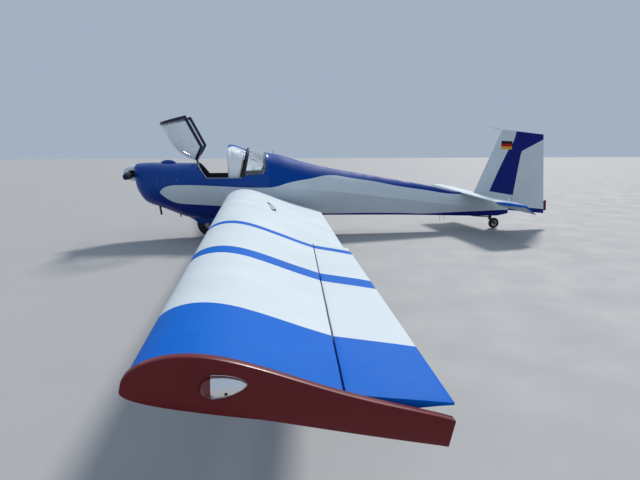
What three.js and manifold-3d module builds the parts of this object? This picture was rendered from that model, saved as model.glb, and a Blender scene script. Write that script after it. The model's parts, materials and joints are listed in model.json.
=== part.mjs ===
// Two-seat touring motor glider, parked on its main wheel, tail wheel and left outrigger.
// Millimetres. In the airframe's own frame X points to the left wing tip, Y aft from the
// spinner's tip and Z up from the ground under the main wheel. The airframe leans on its
// left outrigger, and the whole part is then centred over the ground.
import * as THREE from 'three';
import { mergeVertices } from 'three/addons/utils/BufferGeometryUtils.js';
import Module from 'manifold-3d';

const wasm = await Module();
wasm.setup();

// Driving dimensions
const DEG = Math.PI / 180;
const SEAM = 0.4; // gap between pieces that touch
const CLEAR = 6; // gap beside pieces that move
const LEAN = 1.84 * DEG; // roll onto the left outrigger
const SEMI_SPAN = 7630; // aeroplane centre to the outer face of a tip plate
const CANOPY_OPEN = 117 * DEG;
const ELEVATOR_DROOP = 28 * DEG;
const AILERON_REST = 8 * DEG; // left one up, right one down

// Colours
const PAINT = {
  blue: { color: 0x1b5fb8, roughness: 0.35, metalness: 0 },
  white: { color: 0xdfe4ea, roughness: 0.45, metalness: 0 },
  red: { color: 0xa80d18, roughness: 0.4, metalness: 0 },
  darkMetal: { color: 0x24262a, roughness: 0.5, metalness: 0.8 },
  steel: { color: 0xa5a9ad, roughness: 0.35, metalness: 0.9 },
  black: { color: 0x101114, roughness: 0.5, metalness: 0 },
  tyre: { color: 0x16171a, roughness: 0.9, metalness: 0 },
  glass: { color: 0xdfe9ee, roughness: 0.05, metalness: 0, transparent: true, opacity: 0.3 },
  wood: { color: 0x8a6b45, roughness: 0.7, metalness: 0 },
  fabric: { color: 0x3a3f4a, roughness: 0.9, metalness: 0 },
};

const lerp = (a, b, t) => a + (b - a) * t;
const range = (n) => Array.from({ length: n }, (_, i) => i);
const v3 = (x, y, z) => new THREE.Vector3(x, y, z);

// Solids

// A geometry with shared vertices, turned so that its faces point outwards.
function outward(geometry) {
  const g = geometry.clone();
  g.deleteAttribute('normal');
  g.deleteAttribute('uv');
  const merged = mergeVertices(g, 1e-3);
  const p = merged.attributes.position;
  const index = merged.index.array;
  const [a, b, c] = [v3(), v3(), v3()];
  let volume = 0;
  for (let i = 0; i < index.length; i += 3) {
    a.fromBufferAttribute(p, index[i]);
    b.fromBufferAttribute(p, index[i + 1]);
    c.fromBufferAttribute(p, index[i + 2]);
    volume += a.dot(b.cross(c));
  }
  if (volume < 0) {
    for (let i = 0; i < index.length; i += 3) {
      [index[i + 1], index[i + 2]] = [index[i + 2], index[i + 1]];
    }
  }
  return merged;
}

function solid(geometry) {
  const g = outward(geometry);
  return new wasm.Manifold(new wasm.Mesh({
    numProp: 3,
    vertProperties: g.attributes.position.array,
    triVerts: new Uint32Array(g.index.array),
  }));
}

function geometryOf(manifold) {
  const mesh = manifold.getMesh();
  const g = new THREE.BufferGeometry();
  g.setAttribute('position', new THREE.BufferAttribute(mesh.vertProperties, 3));
  g.setIndex(new THREE.BufferAttribute(mesh.triVerts, 1));
  return g;
}

const join = (...pieces) => geometryOf(pieces.map(solid).reduce((a, b) => a.add(b)));
const cut = (body, ...tools) => geometryOf(tools.map(solid).reduce((a, b) => a.subtract(b), solid(body)));
const common = (...pieces) => geometryOf(pieces.map(solid).reduce((a, b) => a.intersect(b)));

// A closed body through rings of equal point count, with flat caps at both ends.
function loft(rings) {
  const n = rings[0].length;
  const points = rings.flat();
  const index = [];
  for (const r of range(rings.length - 1)) {
    for (const i of range(n)) {
      const j = (i + 1) % n;
      const [a, b, c, d] = [r * n + i, r * n + j, (r + 1) * n + j, (r + 1) * n + i];
      index.push(a, b, c, a, c, d);
    }
  }
  for (const [start, turned] of [[0, true], [(rings.length - 1) * n, false]]) {
    for (const [a, b, c] of capFaces(points.slice(start, start + n))) {
      index.push(start + a, start + (turned ? c : b), start + (turned ? b : c));
    }
  }
  const g = new THREE.BufferGeometry();
  g.setAttribute('position', new THREE.BufferAttribute(new Float32Array(points.flatMap((p) => [p.x, p.y, p.z])), 3));
  g.setIndex(index);
  return outward(g);
}

// Triangles over a flat ring, wound as the ring runs.
function capFaces(ring) {
  const normal = v3();
  ring.forEach((p, i) => normal.add(v3().crossVectors(p, ring[(i + 1) % ring.length])));
  normal.normalize();
  const u = v3().subVectors(ring[Math.floor(ring.length / 3)], ring[0]);
  u.addScaledVector(normal, -u.dot(normal)).normalize();
  const w = v3().crossVectors(normal, u);
  const flat = ring.map((p) => new THREE.Vector2(p.dot(u), p.dot(w)));
  return THREE.ShapeUtils.triangulateShape(flat, []);
}

const box = (x0, x1, y0, y1, z0, z1) =>
  new THREE.BoxGeometry(x1 - x0, y1 - y0, z1 - z0).translate((x0 + x1) / 2, (y0 + y1) / 2, (z0 + z1) / 2);

// A side-view outline [y, z] as a slab between x0 and x1.
function sideSlab(outline, x0, x1) {
  return loft([x0, x1].map((x) => outline.map(([y, z]) => v3(x, y, z))));
}

function rod(from, to, r, sides = 12, rTo = r) {
  const along = v3().subVectors(to, from);
  const g = new THREE.CylinderGeometry(rTo, r, along.length(), sides);
  g.applyQuaternion(new THREE.Quaternion().setFromUnitVectors(v3(0, 1, 0), along.clone().normalize()));
  return g.translate(...v3().addVectors(from, to).multiplyScalar(0.5).toArray());
}

// A flat strip of width w and thickness t along a curve through points.
function strip(points, w, t, steps = 16) {
  const shape = new THREE.Shape([[-w, -t], [w, -t], [w, t], [-w, t]].map(([a, b]) => new THREE.Vector2(a / 2, b / 2)));
  const path = new THREE.CatmullRomCurve3(points);
  return new THREE.ExtrudeGeometry(shape, { steps, bevelEnabled: false, extrudePath: path });
}

// A body turned about the X axis from [radius, x] points; its vertices lie straight below the axle.
function turned(profile, segments) {
  const g = new THREE.LatheGeometry(profile.map(([r, x]) => new THREE.Vector2(r, x)), segments);
  return outward(g.rotateZ(-Math.PI / 2));
}

// Plain hinges between a and b: lugs with a bore for the fixed piece, slots crossed by pins for
// the moving one. `reach` runs from the hinge line into the fixed piece.
const LUG_HALF = 5;
function hinges(a, b, places, { pin, boss, slot, reach }) {
  const along = v3().subVectors(b, a).normalize();
  const square = reach.clone().addScaledVector(along, -reach.dot(along));
  const bars = (half, r) => places.map((t) => {
    const c = a.clone().lerp(b, t);
    return rod(c.clone().addScaledVector(along, -half), c.clone().addScaledVector(along, half), r, 10);
  });
  const arms = places.map((t) => {
    const c = a.clone().lerp(b, t);
    return rod(c, v3().addVectors(c, square), Math.min(boss * 0.8, LUG_HALF - 0.5), 6);
  });
  return {
    lugs: [...bars(LUG_HALF, boss), ...arms],
    bores: bars(LUG_HALF + 2, pin + SEAM),
    slots: bars(LUG_HALF + SEAM, slot),
    pins: bars(LUG_HALF + 12, pin),
  };
}
const withLugs = (body, h) => cut(join(body, ...h.lugs), ...h.bores);
const withPins = (body, h) => join(cut(body, ...h.slots), ...h.pins);

// Moves each edge of a convex side-view outline inwards by d.
function inset(outline, d) {
  const n = outline.length;
  const area = outline.reduce((s, [y, z], i) => {
    const [y2, z2] = outline[(i + 1) % n];
    return s + y * z2 - y2 * z;
  }, 0);
  const edges = outline.map(([y, z], i) => {
    const [y2, z2] = outline[(i + 1) % n];
    const l = Math.hypot(y2 - y, z2 - z) * Math.sign(area);
    const nrm = [-(z2 - z) / l, (y2 - y) / l];
    return { p: [y + nrm[0] * d, z + nrm[1] * d], e: [y2 - y, z2 - z] };
  });
  return edges.map((b, i) => {
    const a = edges[(i + n - 1) % n];
    const den = a.e[0] * b.e[1] - a.e[1] * b.e[0];
    const t = ((b.p[0] - a.p[0]) * b.e[1] - (b.p[1] - a.p[1]) * b.e[0]) / den;
    return [a.p[0] + a.e[0] * t, a.p[1] + a.e[1] * t];
  });
}

// The scene graph
const airframe = new THREE.Group();
airframe.rotation.y = LEAN;
const root = new THREE.Group();
root.add(airframe);

function piece(name, geometry, paint, parent = airframe) {
  const mesh = new THREE.Mesh(outward(geometry), new THREE.MeshStandardMaterial(PAINT[paint]));
  mesh.name = name;
  parent.add(mesh);
  return mesh;
}

// Both sides of a piece made for the left wing.
function pair(name, geometryFor, paint) {
  for (const [side, s] of [['left', 1], ['right', -1]]) {
    piece(`${name}_${side}`, geometryFor(s), paint);
  }
}

const mirrored = (geometry, s) => (s > 0 ? geometry : outward(geometry.clone().scale(-1, 1, 1)));

// Fuselage outline
// columns: y, top, height of the widest place, half width, bottom, upper power, half width of
// the flat bottom, lower power. A power of 2 is round, 1 is a straight facet.
const STATIONS = [
  [205, 1216, 1082, 168, 946, 2.2, 20, 2.0],
  [222, 1233, 1070, 232, 835, 2.3, 40, 2.0],
  [255, 1241, 1050, 285, 765, 2.3, 60, 2.0],
  [300, 1244, 1030, 322, 695, 2.3, 80, 2.0],
  [345, 1247, 1015, 346, 640, 2.3, 90, 2.0],
  [450, 1250, 990, 390, 583, 2.3, 100, 2.0],
  [560, 1248, 968, 418, 545, 2.3, 110, 2.0],
  [700, 1244, 945, 442, 488, 2.3, 120, 1.9],
  [905, 1242, 920, 468, 404, 2.3, 137, 1.9],
  [1000, 1241, 912, 478, 370, 2.3, 150, 1.8],
  [1120, 1240, 905, 488, 352, 2.3, 170, 1.8],
  [1190, 1250, 900, 492, 348, 2.3, 180, 1.8],
  [1260, 1325, 900, 496, 346, 2.25, 190, 1.8],
  [1343, 1403, 900, 499, 345, 2.2, 200, 1.8],
  [1486, 1471, 900, 500, 345, 2.2, 210, 1.8],
  [1648, 1503, 900, 500, 345, 2.2, 220, 1.8],
  [1850, 1510, 898, 500, 345, 2.15, 230, 1.7],
  [2030, 1488, 893, 495, 346, 2.1, 230, 1.6],
  [2180, 1446, 886, 485, 348, 2.05, 230, 1.5],
  [2330, 1408, 878, 470, 350, 2.0, 225, 1.4],
  [2550, 1366, 866, 446, 352, 1.9, 215, 1.2],
  [2720, 1316, 855, 428, 353, 1.8, 208, 1.1],
  [2892, 1265, 836, 410, 354, 1.7, 200, 1.0],
  [3240, 1178, 797, 374, 354, 1.6, 186, 1.0],
  [3592, 1108, 757, 338, 347, 1.55, 170, 1.0],
  [4000, 1040, 704, 297, 336, 1.55, 150, 1.0],
  [4686, 917, 610, 232, 316, 1.55, 118, 1.0],
  [5250, 817, 531, 180, 292, 1.55, 92, 1.0],
  [5778, 703, 466, 132, 268, 1.6, 68, 1.0],
  [6100, 676, 440, 104, 256, 1.6, 52, 1.0],
  [6560, 630, 420, 62, 244, 1.8, 30, 1.0],
  [6800, 600, 410, 40, 280, 2.0, 18, 1.0],
];
const UPPER_STEPS = 18;
const LOWER_STEPS = 4;

function stationAt(y) {
  const last = STATIONS.length - 1;
  let i = STATIONS.findIndex((row) => row[0] > y) - 1;
  if (i < 0) i = y < STATIONS[0][0] ? 0 : last - 1;
  const t = (y - STATIONS[i][0]) / (STATIONS[i + 1][0] - STATIONS[i][0]);
  return STATIONS[i].map((a, k) => lerp(a, STATIONS[i + 1][k], t));
}

// One ring of the fuselage, drawn in by `wall`.
function fuselageRing(y, wall = 0) {
  const [, top, waist, half, bottom, upper, flat, lower] = stationAt(y);
  const w = half - wall;
  const up = top - wall - waist;
  const down = waist - bottom - wall;
  const f = flat - wall * 0.6;
  const power = (c, p) => Math.sign(c) * Math.abs(c) ** (2 / p);
  const ring = [];
  for (const i of range(UPPER_STEPS + 1)) {
    const a = (i / UPPER_STEPS) * Math.PI;
    ring.push(v3(w * power(Math.cos(a), upper), y, waist + up * power(Math.sin(a), upper)));
  }
  for (const side of [-1, 1]) {
    const quarter = range(LOWER_STEPS).map((i) => {
      const a = ((i + 1) / LOWER_STEPS) * Math.PI / 2;
      return v3(side * (f + (w - f) * power(Math.cos(a), lower)), y, waist - down * power(Math.sin(a), lower));
    });
    ring.push(...(side < 0 ? quarter : quarter.reverse()));
  }
  return ring;
}

// The fuselage's outer form from y0 to y1, as one solid.
function hull(y0, y1, wall = 0) {
  const inside = STATIONS.map((row) => row[0]).filter((y) => y > y0 + 1 && y < y1 - 1);
  return loft([y0, ...inside, y1].map((y) => fuselageRing(y, wall)));
}

const NOSE_Y = 205;
const FIREWALL_Y = 905;
const COCKPIT_END_Y = 2330;
const TAIL_POST_Y = 6800;
const BIG = 2000;

// Engine compartment
const COWL_WALL = 8;
const COWL_SPLIT_Z = 1000;
const THRUST = v3(0, 0, 1080);
const PROP_Y = 158;
const HUB_BACK_Y = PROP_Y + 18;

function cowling(z0, z1) {
  const shell = cut(hull(NOSE_Y, FIREWALL_Y - SEAM), hull(NOSE_Y + COWL_WALL, FIREWALL_Y + 5, COWL_WALL));
  const shaftHole = rod(v3(0, 150, THRUST.z), v3(0, 300, THRUST.z), 60, 24);
  const inlets = [-1, 1].map((s) => rod(v3(s * 168, 150, 1085), v3(s * 168, 330, 1085), 42, 20));
  const chinInlet = box(-110, 110, 150, 420, 735, 800);
  const exit = box(-140, 140, FIREWALL_Y - 125, FIREWALL_Y + 100, 360, 470);
  return common(cut(shell, shaftHole, ...inlets, chinInlet, exit), box(-BIG, BIG, 0, BIG, z0, z1));
}
piece('cowling_upper', cowling(COWL_SPLIT_Z + SEAM, BIG), 'blue');
piece('cowling_lower', cowling(0, COWL_SPLIT_Z), 'blue');

const blister = new THREE.SphereGeometry(1, 14, 8).scale(62, 118, 48).translate(0, 715, 1246);
piece('cowl_blister', cut(blister, hull(400, 900, -SEAM)), 'blue');

piece('engine_block', join(
  box(-270, 270, 330, 830, 850, 1130),
  rod(v3(0, HUB_BACK_Y + SEAM, THRUST.z), v3(0, 340, THRUST.z), 45, 20),
  box(-60, 60, 820, FIREWALL_Y - SEAM, 900, 1040),
), 'darkMetal');

piece('firewall', common(hull(FIREWALL_Y, FIREWALL_Y + 12, COWL_WALL), box(-BIG, BIG, 0, BIG, 0, BIG)), 'steel');

// A piece that starts inside the fuselage's skin and is trimmed to sit on it.
const seated = (geometry, y0, y1) => cut(geometry, hull(y0, y1, -SEAM));
piece('exhaust_pipe', seated(rod(v3(150, 550, 650), v3(150, 582, 412), 16, 14), 400, 900), 'darkMetal');
piece('drain_pipe', seated(rod(v3(172, 890, 470), v3(172, 887, 372), 10, 10), 700, 1100), 'darkMetal');

// Propeller and spinner
const PROP_RADIUS = 800;
const HUB_RADIUS = 70;
const SPINNER_RADIUS = 126;
const SPINNER_STEPS = 8;

const ogive = range(SPINNER_STEPS + 1).map((i) => {
  const a = (i / SPINNER_STEPS) * Math.PI / 2;
  return new THREE.Vector2(SPINNER_RADIUS * Math.sin(a) ** 0.9, -192 * Math.cos(a));
});
const spinnerForm = new THREE.LatheGeometry([...ogive, new THREE.Vector2(0, 0)], 24).translate(0, 192, THRUST.z);

// columns: radius, chord, pitch angle in degrees, thickness
const BLADE = [
  [60, 90, 62, 46],
  [160, 104, 48, 30],
  [300, 122, 34, 20],
  [480, 118, 25, 14],
  [650, 98, 19, 10],
  [770, 66, 16, 7],
  [PROP_RADIUS, 30, 15, 5],
];
const BLADE_POINTS = 12;
function blade(s) {
  return loft(BLADE.map(([r, chord, pitch, thick]) => range(BLADE_POINTS).map((i) => {
    const a = (i / BLADE_POINTS) * 2 * Math.PI;
    const p = v3(0, Math.sin(a) * thick / 2, Math.cos(a) * chord / 2);
    p.applyAxisAngle(v3(1, 0, 0), s * (90 - pitch) * DEG - s * Math.PI / 2 + s * pitch * 2 * DEG);
    return p.add(v3(s * r, PROP_Y, THRUST.z));
  })));
}
const hub = rod(v3(0, PROP_Y - 35, THRUST.z), v3(0, HUB_BACK_Y, THRUST.z), HUB_RADIUS, 24);
const propeller = join(hub, blade(1), blade(-1));
piece('propeller', propeller, 'black');
const bladeSlot = [-1, 1].map((s) => box(Math.min(s * 50, s * 160), Math.max(s * 50, s * 160),
  PROP_Y - 60, PROP_Y + 70, THRUST.z - 60, THRUST.z + 60));
const hubSpace = rod(v3(0, PROP_Y - 40, THRUST.z), v3(0, 260, THRUST.z), HUB_RADIUS + SEAM, 24);
piece('spinner', cut(spinnerForm, hubSpace, ...bladeSlot), 'white');

// Cockpit
const SHELL_WALL = 22;
const HINGE = v3(0, 1188, 1266); // canopy hinge line
const BOW_LEAN = 0.235; // rear bow, mm aft for each mm up
const SILL_Z = 1036;
const BOW_Y = 1895; // front face of the rear bow at the sill
const ABOVE = 1700;
const bowY = (z) => BOW_Y + (z - SILL_Z) * BOW_LEAN;
const canopyOutline = [
  [1351 - (ABOVE - SILL_Z) / 1.371, ABOVE],
  [1351, SILL_Z],
  [bowY(SILL_Z), SILL_Z],
  [bowY(ABOVE), ABOVE],
];
const BOW_DEPTH = 45;
const REAR_GLASS_Z = 1068;
const REAR_GLASS_END_Y = 2285;
const rearGlassOutline = [
  [bowY(REAR_GLASS_Z) + BOW_DEPTH, REAR_GLASS_Z],
  [REAR_GLASS_END_Y - 40, REAR_GLASS_Z + 18],
  [REAR_GLASS_END_Y, REAR_GLASS_Z + 110],
  [REAR_GLASS_END_Y, ABOVE],
  [bowY(ABOVE) + BOW_DEPTH, ABOVE],
];
const bowOutline = [
  [bowY(SILL_Z) + SEAM, SILL_Z + SEAM],
  [bowY(SILL_Z) + BOW_DEPTH - SEAM, SILL_Z + SEAM],
  [bowY(ABOVE) + BOW_DEPTH - SEAM, ABOVE],
  [bowY(ABOVE) + SEAM, ABOVE],
];
const bowSpace = [
  [bowY(SILL_Z) - 20, SILL_Z],
  [bowY(SILL_Z) + BOW_DEPTH, SILL_Z],
  [bowY(ABOVE) + BOW_DEPTH, ABOVE],
  [bowY(ABOVE) - 20, ABOVE],
];
const rearGlassSpace = [
  [rearGlassOutline[0][0] - 20, REAR_GLASS_Z], ...rearGlassOutline, [rearGlassOutline[4][0] - 20, ABOVE],
];

// Main wheel well in the belly
const MAIN = { y: 1362, radius: 230, half: 75, crown: 90 };
const WELL_HALF = 105;
const WELL = [MAIN.y - 262, MAIN.y + 262];

const cockpitInner = hull(FIREWALL_Y - 20, COCKPIT_END_Y + 20, SHELL_WALL);
const cockpitShell = cut(
  hull(FIREWALL_Y + SEAM, COCKPIT_END_Y - SEAM),
  cockpitInner,
  sideSlab(canopyOutline, -BIG, BIG),
  sideSlab(bowSpace, -BIG, BIG),
  sideSlab(rearGlassSpace, -BIG, BIG),
  box(-WELL_HALF, WELL_HALF, ...WELL, 200, 480),
);
const firewallSpace = hull(FIREWALL_Y - 1, FIREWALL_Y + 12 + SEAM, COWL_WALL - SEAM);
const CANOPY_LUGS = [-60, 60];
const lugOutline = [[1180, 1234], [1196, 1234], [1196, 1274], [1180, 1274]];
const lugs = CANOPY_LUGS.map((x) => sideSlab(lugOutline, x - 6, x + 6));
const lugBore = rod(v3(-90, HINGE.y, HINGE.z), v3(90, HINGE.y, HINGE.z), 4.4, 14);
// The scuttle, ahead of the canopy's hinge, is a moulding of its own
const SCUTTLE_END_Y = 1150;
const shells = cut(join(cut(cockpitShell, firewallSpace), ...lugs), lugBore);
piece('scuttle_shell', cut(shells, box(-BIG, BIG, SCUTTLE_END_Y - SEAM / 2, 3000, -BIG, BIG)), 'blue');
piece('cockpit_shell', cut(shells, box(-BIG, BIG, 0, SCUTTLE_END_Y + SEAM / 2, -BIG, BIG)), 'blue');

const canopyHull = hull(1100, 2200);
const canopy = new THREE.Group();
canopy.position.copy(HINGE);
canopy.rotation.x = CANOPY_OPEN;
airframe.add(canopy);
const FRAME_WIDTH = 30;
const frameOutline = inset(canopyOutline, CLEAR - 1);
const paneOutline = inset(frameOutline, FRAME_WIDTH);
const frameRing = cut(common(canopyHull, sideSlab(frameOutline, -BIG, BIG)),
  hull(1090, 2210, 22), sideSlab(paneOutline, -BIG, BIG));
const armOutline = [[1180, 1258], [1200, 1258], [1215, 1268], [1215, 1284], [1196, 1280], [1180, 1274]];
const canopyArms = CANOPY_LUGS.flatMap((x) => [
  sideSlab(armOutline, x - 16, x - 6 - SEAM), sideSlab(armOutline, x + 6 + SEAM, x + 16),
  rod(v3(x - 16, HINGE.y, HINGE.z), v3(x + 16, HINGE.y, HINGE.z), 4, 14),
]);
const lugRoom = CANOPY_LUGS.map((x) => box(x - 6 - SEAM, x + 6 + SEAM, 1170, 1206, 1200, 1300));
piece('canopy_frame', join(cut(frameRing, ...lugRoom), ...canopyArms).translate(0, -HINGE.y, -HINGE.z),
  'black', canopy);
const pane = cut(common(hull(1100, 2200, 3), sideSlab(inset(paneOutline, SEAM), -BIG, BIG)), hull(1090, 2210, 8));
piece('canopy_glass', pane.translate(0, -HINGE.y, -HINGE.z), 'glass', canopy);

piece('rear_bow', cut(common(hull(1800, 2250, 1), sideSlab(bowOutline, -BIG, BIG)), hull(1790, 2260, 26)), 'blue');
piece('rear_window', cut(
  common(hull(1900, 2320, 2), sideSlab(inset(rearGlassOutline, SEAM), -BIG, BIG)), hull(1890, 2325, 7),
), 'glass');

// Inside of the cockpit
const FLOOR_Z = 425;
const PANEL_Y = 1186;
const tunnelTop = 505;
const cabin = hull(FIREWALL_Y - 20, COCKPIT_END_Y + 20, SHELL_WALL + SEAM);
piece('instrument_panel', cut(
  common(hull(FIREWALL_Y, 1400, SHELL_WALL + SEAM), box(-450, 450, PANEL_Y, PANEL_Y + 14, 920, 1225)),
  sideSlab(inset(canopyOutline, -CLEAR), -BIG, BIG),
), 'darkMetal');
piece('cockpit_floor', cut(
  common(cabin, box(-440, 440, FIREWALL_Y + 14, COCKPIT_END_Y - 5, FLOOR_Z, FLOOR_Z + 12)),
  box(-WELL_HALF - 13, WELL_HALF + 13, WELL[0] - 13, WELL[1] + 13, 400, 470),
), 'wood');
const tunnelOuter = box(-WELL_HALF - 12, WELL_HALF + 12, WELL[0] - 12, WELL[1] + 12, 350, tunnelTop);
const tunnelInner = box(-WELL_HALF, WELL_HALF, WELL[0], WELL[1], 340, tunnelTop - 12);
piece('wheel_tunnel', common(cut(tunnelOuter, tunnelInner), cabin), 'wood');

// Seats: a box over the wheel tunnel, cushions on it, and high padded backs against a sloping panel
const SEAT = { front: 1250, back: 1705, base: 640, cushion: 738, x0: 6, x1: 425 };
const seatRoom = hull(FIREWALL_Y, COCKPIT_END_Y, SHELL_WALL + CLEAR);
const backRearY = (z) => 1856 + (z - 1000) * 0.235;
const backPanel = [[560, 0], [1300, 0], [1300, 12], [560, 12]].map(([z, dy]) => [backRearY(z) + SEAM + dy, z]);
piece('seat_base', cut(
  common(cabin, join(
    box(-430, 430, SEAT.front, backRearY(600) + 12, FLOOR_Z + 12 + SEAM, SEAT.base),
    common(seatRoom, sideSlab(backPanel, -430, 430)),
  )),
  box(-410, 410, SEAT.front + 20, backRearY(600) - 30, 400, SEAT.base - 12),
  box(-WELL_HALF - 14, WELL_HALF + 14, SEAT.front - 10, SEAT.front + 30, 400, tunnelTop + 2),
), 'wood');
const cushion = [
  [SEAT.front, SEAT.base + SEAM], [SEAT.back - 1, SEAT.base + SEAM], [SEAT.back - 4, 715], [SEAT.front, SEAT.cushion],
];
const backrest = [
  [SEAT.back, SEAT.base + SEAM], [backRearY(SEAT.base), SEAT.base + SEAM], [backRearY(1400), 1400],
  [1800, 1478], [1692, 1492], [1673, 1465],
];
const hoodRoom = common(hull(FIREWALL_Y, COCKPIT_END_Y, 15), sideSlab(inset(paneOutline, CLEAR), -BIG, BIG));
const backRoom = join(seatRoom, hoodRoom);
pair('seat_cushion', (s) => mirrored(common(seatRoom, sideSlab(cushion, SEAT.x0, SEAT.x1)), s), 'fabric');
pair('seat_back', (s) => mirrored(common(backRoom, sideSlab(backrest, SEAT.x0, SEAT.x1)), s), 'white');

const STICK = { x: 225, y: 1214, grip: 905 };
pair('control_stick', (s) => join(
  rod(v3(s * STICK.x, STICK.y, FLOOR_Z + 12 + SEAM), v3(s * STICK.x, STICK.y, FLOOR_Z + 60), 20, 12, 14),
  rod(v3(s * STICK.x, STICK.y, FLOOR_Z + 50), v3(s * STICK.x, STICK.y + 18, 800), 11, 10),
  rod(v3(s * STICK.x, STICK.y + 18, 795), v3(s * STICK.x, STICK.y + 22, STICK.grip), 16, 12),
), 'darkMetal');

// Rear fuselage, tailplane and fin
const STAB = { tipX: 1376, leadY: 5818, leadZ: 690, slope: Math.tan(8.7 * DEG), hinge: 516 };
const stabAxisY = STAB.leadY + STAB.hinge * Math.cos(8.7 * DEG);
const stabAxisZ = STAB.leadZ - STAB.hinge * Math.sin(8.7 * DEG);
const ELEVATOR_NOSE = 19;
const STAB_THICK = 31; // greatest half thickness
const stabPoint = (x, along, off) => {
  const c = Math.cos(8.7 * DEG);
  const s = Math.sin(8.7 * DEG);
  return v3(x, STAB.leadY + along * c + off * s, STAB.leadZ - along * s + off * c);
};
const STAB_STEPS = 7;
function stabRing(x, grow, thin = 1, lead = 0) {
  const upper = range(STAB_STEPS + 1).map((i) => {
    const f = (i / STAB_STEPS) ** 2;
    const nose = Math.sqrt(1 - (1 - Math.min(f / 0.4, 1)) ** 2);
    const half = thin * lerp(STAB_THICK, 22, Math.max(0, (f - 0.4) / 0.6)) * nose + grow;
    return [lerp(lead - grow, STAB.hinge, f), half];
  });
  return [
    ...upper.map(([a, h]) => stabPoint(x, a, h)),
    ...upper.slice().reverse().map(([a, h]) => stabPoint(x, a, -h)),
  ];
}
const stabForm = (grow) => loft([
  [-STAB.tipX, 0.55, 40], [-STAB.tipX + 45, 1, 8], [STAB.tipX - 45, 1, 8], [STAB.tipX, 0.55, 40],
].map(([x, thin, lead]) => stabRing(x, grow, thin, lead)));
const hingeRod = (r, half) => rod(v3(-half, stabAxisY, stabAxisZ), v3(half, stabAxisY, stabAxisZ), r, 16);
const ELEVATOR_HINGES = [0.08, 0.3, 0.7, 0.92];
const elevatorHinges = (centre) => hinges(
  v3(-STAB.tipX, 0, 0).add(centre), v3(STAB.tipX, 0, 0).add(centre), ELEVATOR_HINGES,
  { pin: 4, boss: 9, slot: ELEVATOR_NOSE + 8, reach: v3(0, -42 * Math.cos(8.7 * DEG), 42 * Math.sin(8.7 * DEG)) },
);
piece('stabilizer', withLugs(
  cut(stabForm(0.2), hingeRod(ELEVATOR_NOSE + CLEAR, 1500)), elevatorHinges(v3(0, stabAxisY, stabAxisZ)),
), 'white');

const elevator = new THREE.Group();
elevator.position.set(0, stabAxisY, stabAxisZ);
elevator.rotation.x = -ELEVATOR_DROOP - 8.7 * DEG;
airframe.add(elevator);
const ELEVATOR_INNER = 112;
function elevatorHalf(s) {
  const arc = range(9).map((i) => {
    const a = (0.5 + i / 8) * Math.PI;
    return [Math.cos(a), Math.sin(a)];
  });
  const ring = (x, chord, r) => [
    ...arc.map(([c, q]) => v3(s * x, c * r, q * r)),
    v3(s * x, chord, -2),
    v3(s * x, chord, 2),
  ];
  return loft([ring(ELEVATOR_INNER, 285, ELEVATOR_NOSE), ring(STAB.tipX, 222, ELEVATOR_NOSE - 5)]);
}
const torqueTube = rod(v3(-ELEVATOR_INNER - 40, 0, 0), v3(ELEVATOR_INNER + 40, 0, 0), 12, 16);
piece('elevator', withPins(
  join(elevatorHalf(1), elevatorHalf(-1), torqueTube), elevatorHinges(v3()),
), 'white', elevator);

// Fin and rudder share the hinge line, square to the fuselage
const rudderAxisY = (z) => 6872 + 0.122 * (z - 620);
const RUDDER_NOSE = { low: 26, high: 16 };
const FIN_BASE_Z = 560;
const finTopZ = (y) => 1812 - (y - 6574) * 0.105;
const finLeadY = (z) => 6126 + (z - 742) * 0.4187;
const FIN_STEPS = 9;
function finRing(t, grow) {
  const z0 = lerp(FIN_BASE_Z, 1812, t);
  const y0 = finLeadY(z0);
  const zAft = lerp(FIN_BASE_Z, finTopZ(rudderAxisY(1767)), t);
  const y1 = rudderAxisY(zAft) - 3;
  const thick = lerp(44, 22, t) + grow;
  const aft = lerp(RUDDER_NOSE.low, RUDDER_NOSE.high, t) + 2 + grow;
  const half = range(FIN_STEPS + 1).map((i) => {
    const f = (i / FIN_STEPS) ** 1.7;
    const nose = Math.sqrt(1 - (1 - Math.min(f / 0.4, 1)) ** 2);
    return [f, Math.max(lerp(thick, aft, Math.max(0, (f - 0.4) / 0.6)) * nose, 1)];
  });
  const point = ([f, h], s) => v3(s * h, lerp(y0 - grow, y1, f), lerp(z0, zAft, f));
  return [...half.map((p) => point(p, 1)), ...half.slice().reverse().map((p) => point(p, -1))];
}
const rudderRod = (z0, z1, r0, r1) => rod(v3(0, rudderAxisY(z0), z0), v3(0, rudderAxisY(z1), z1), r0, 24, r1);
const rudderSpace = rudderRod(150, 1900, RUDDER_NOSE.low + CLEAR + 2, RUDDER_NOSE.high + CLEAR);
const tailBody = hull(COCKPIT_END_Y, TAIL_POST_Y + 10);
const tubeSpace = hingeRod(12 + CLEAR, 105);
const stabSpace = stabForm(SEAM + 0.2);
piece('rear_fuselage', cut(tailBody, stabSpace, rudderSpace, hingeRod(ELEVATOR_NOSE + CLEAR, 200)), 'blue');
const finForm = (grow) => loft([finRing(0, grow), finRing(1, grow)]);
const rudderLine = (z) => v3(0, rudderAxisY(z), z);
const rudderHinges = hinges(rudderLine(600), rudderLine(1760), [0.14, 0.5, 0.86],
  { pin: 4, boss: 9, slot: RUDDER_NOSE.low + 8, reach: v3(0, -46, 0) });
piece('fin', withLugs(cut(
  finForm(0),
  hull(5700, TAIL_POST_Y + 20, -SEAM), stabSpace, rudderSpace, tubeSpace,
), rudderHinges), 'white');

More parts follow.
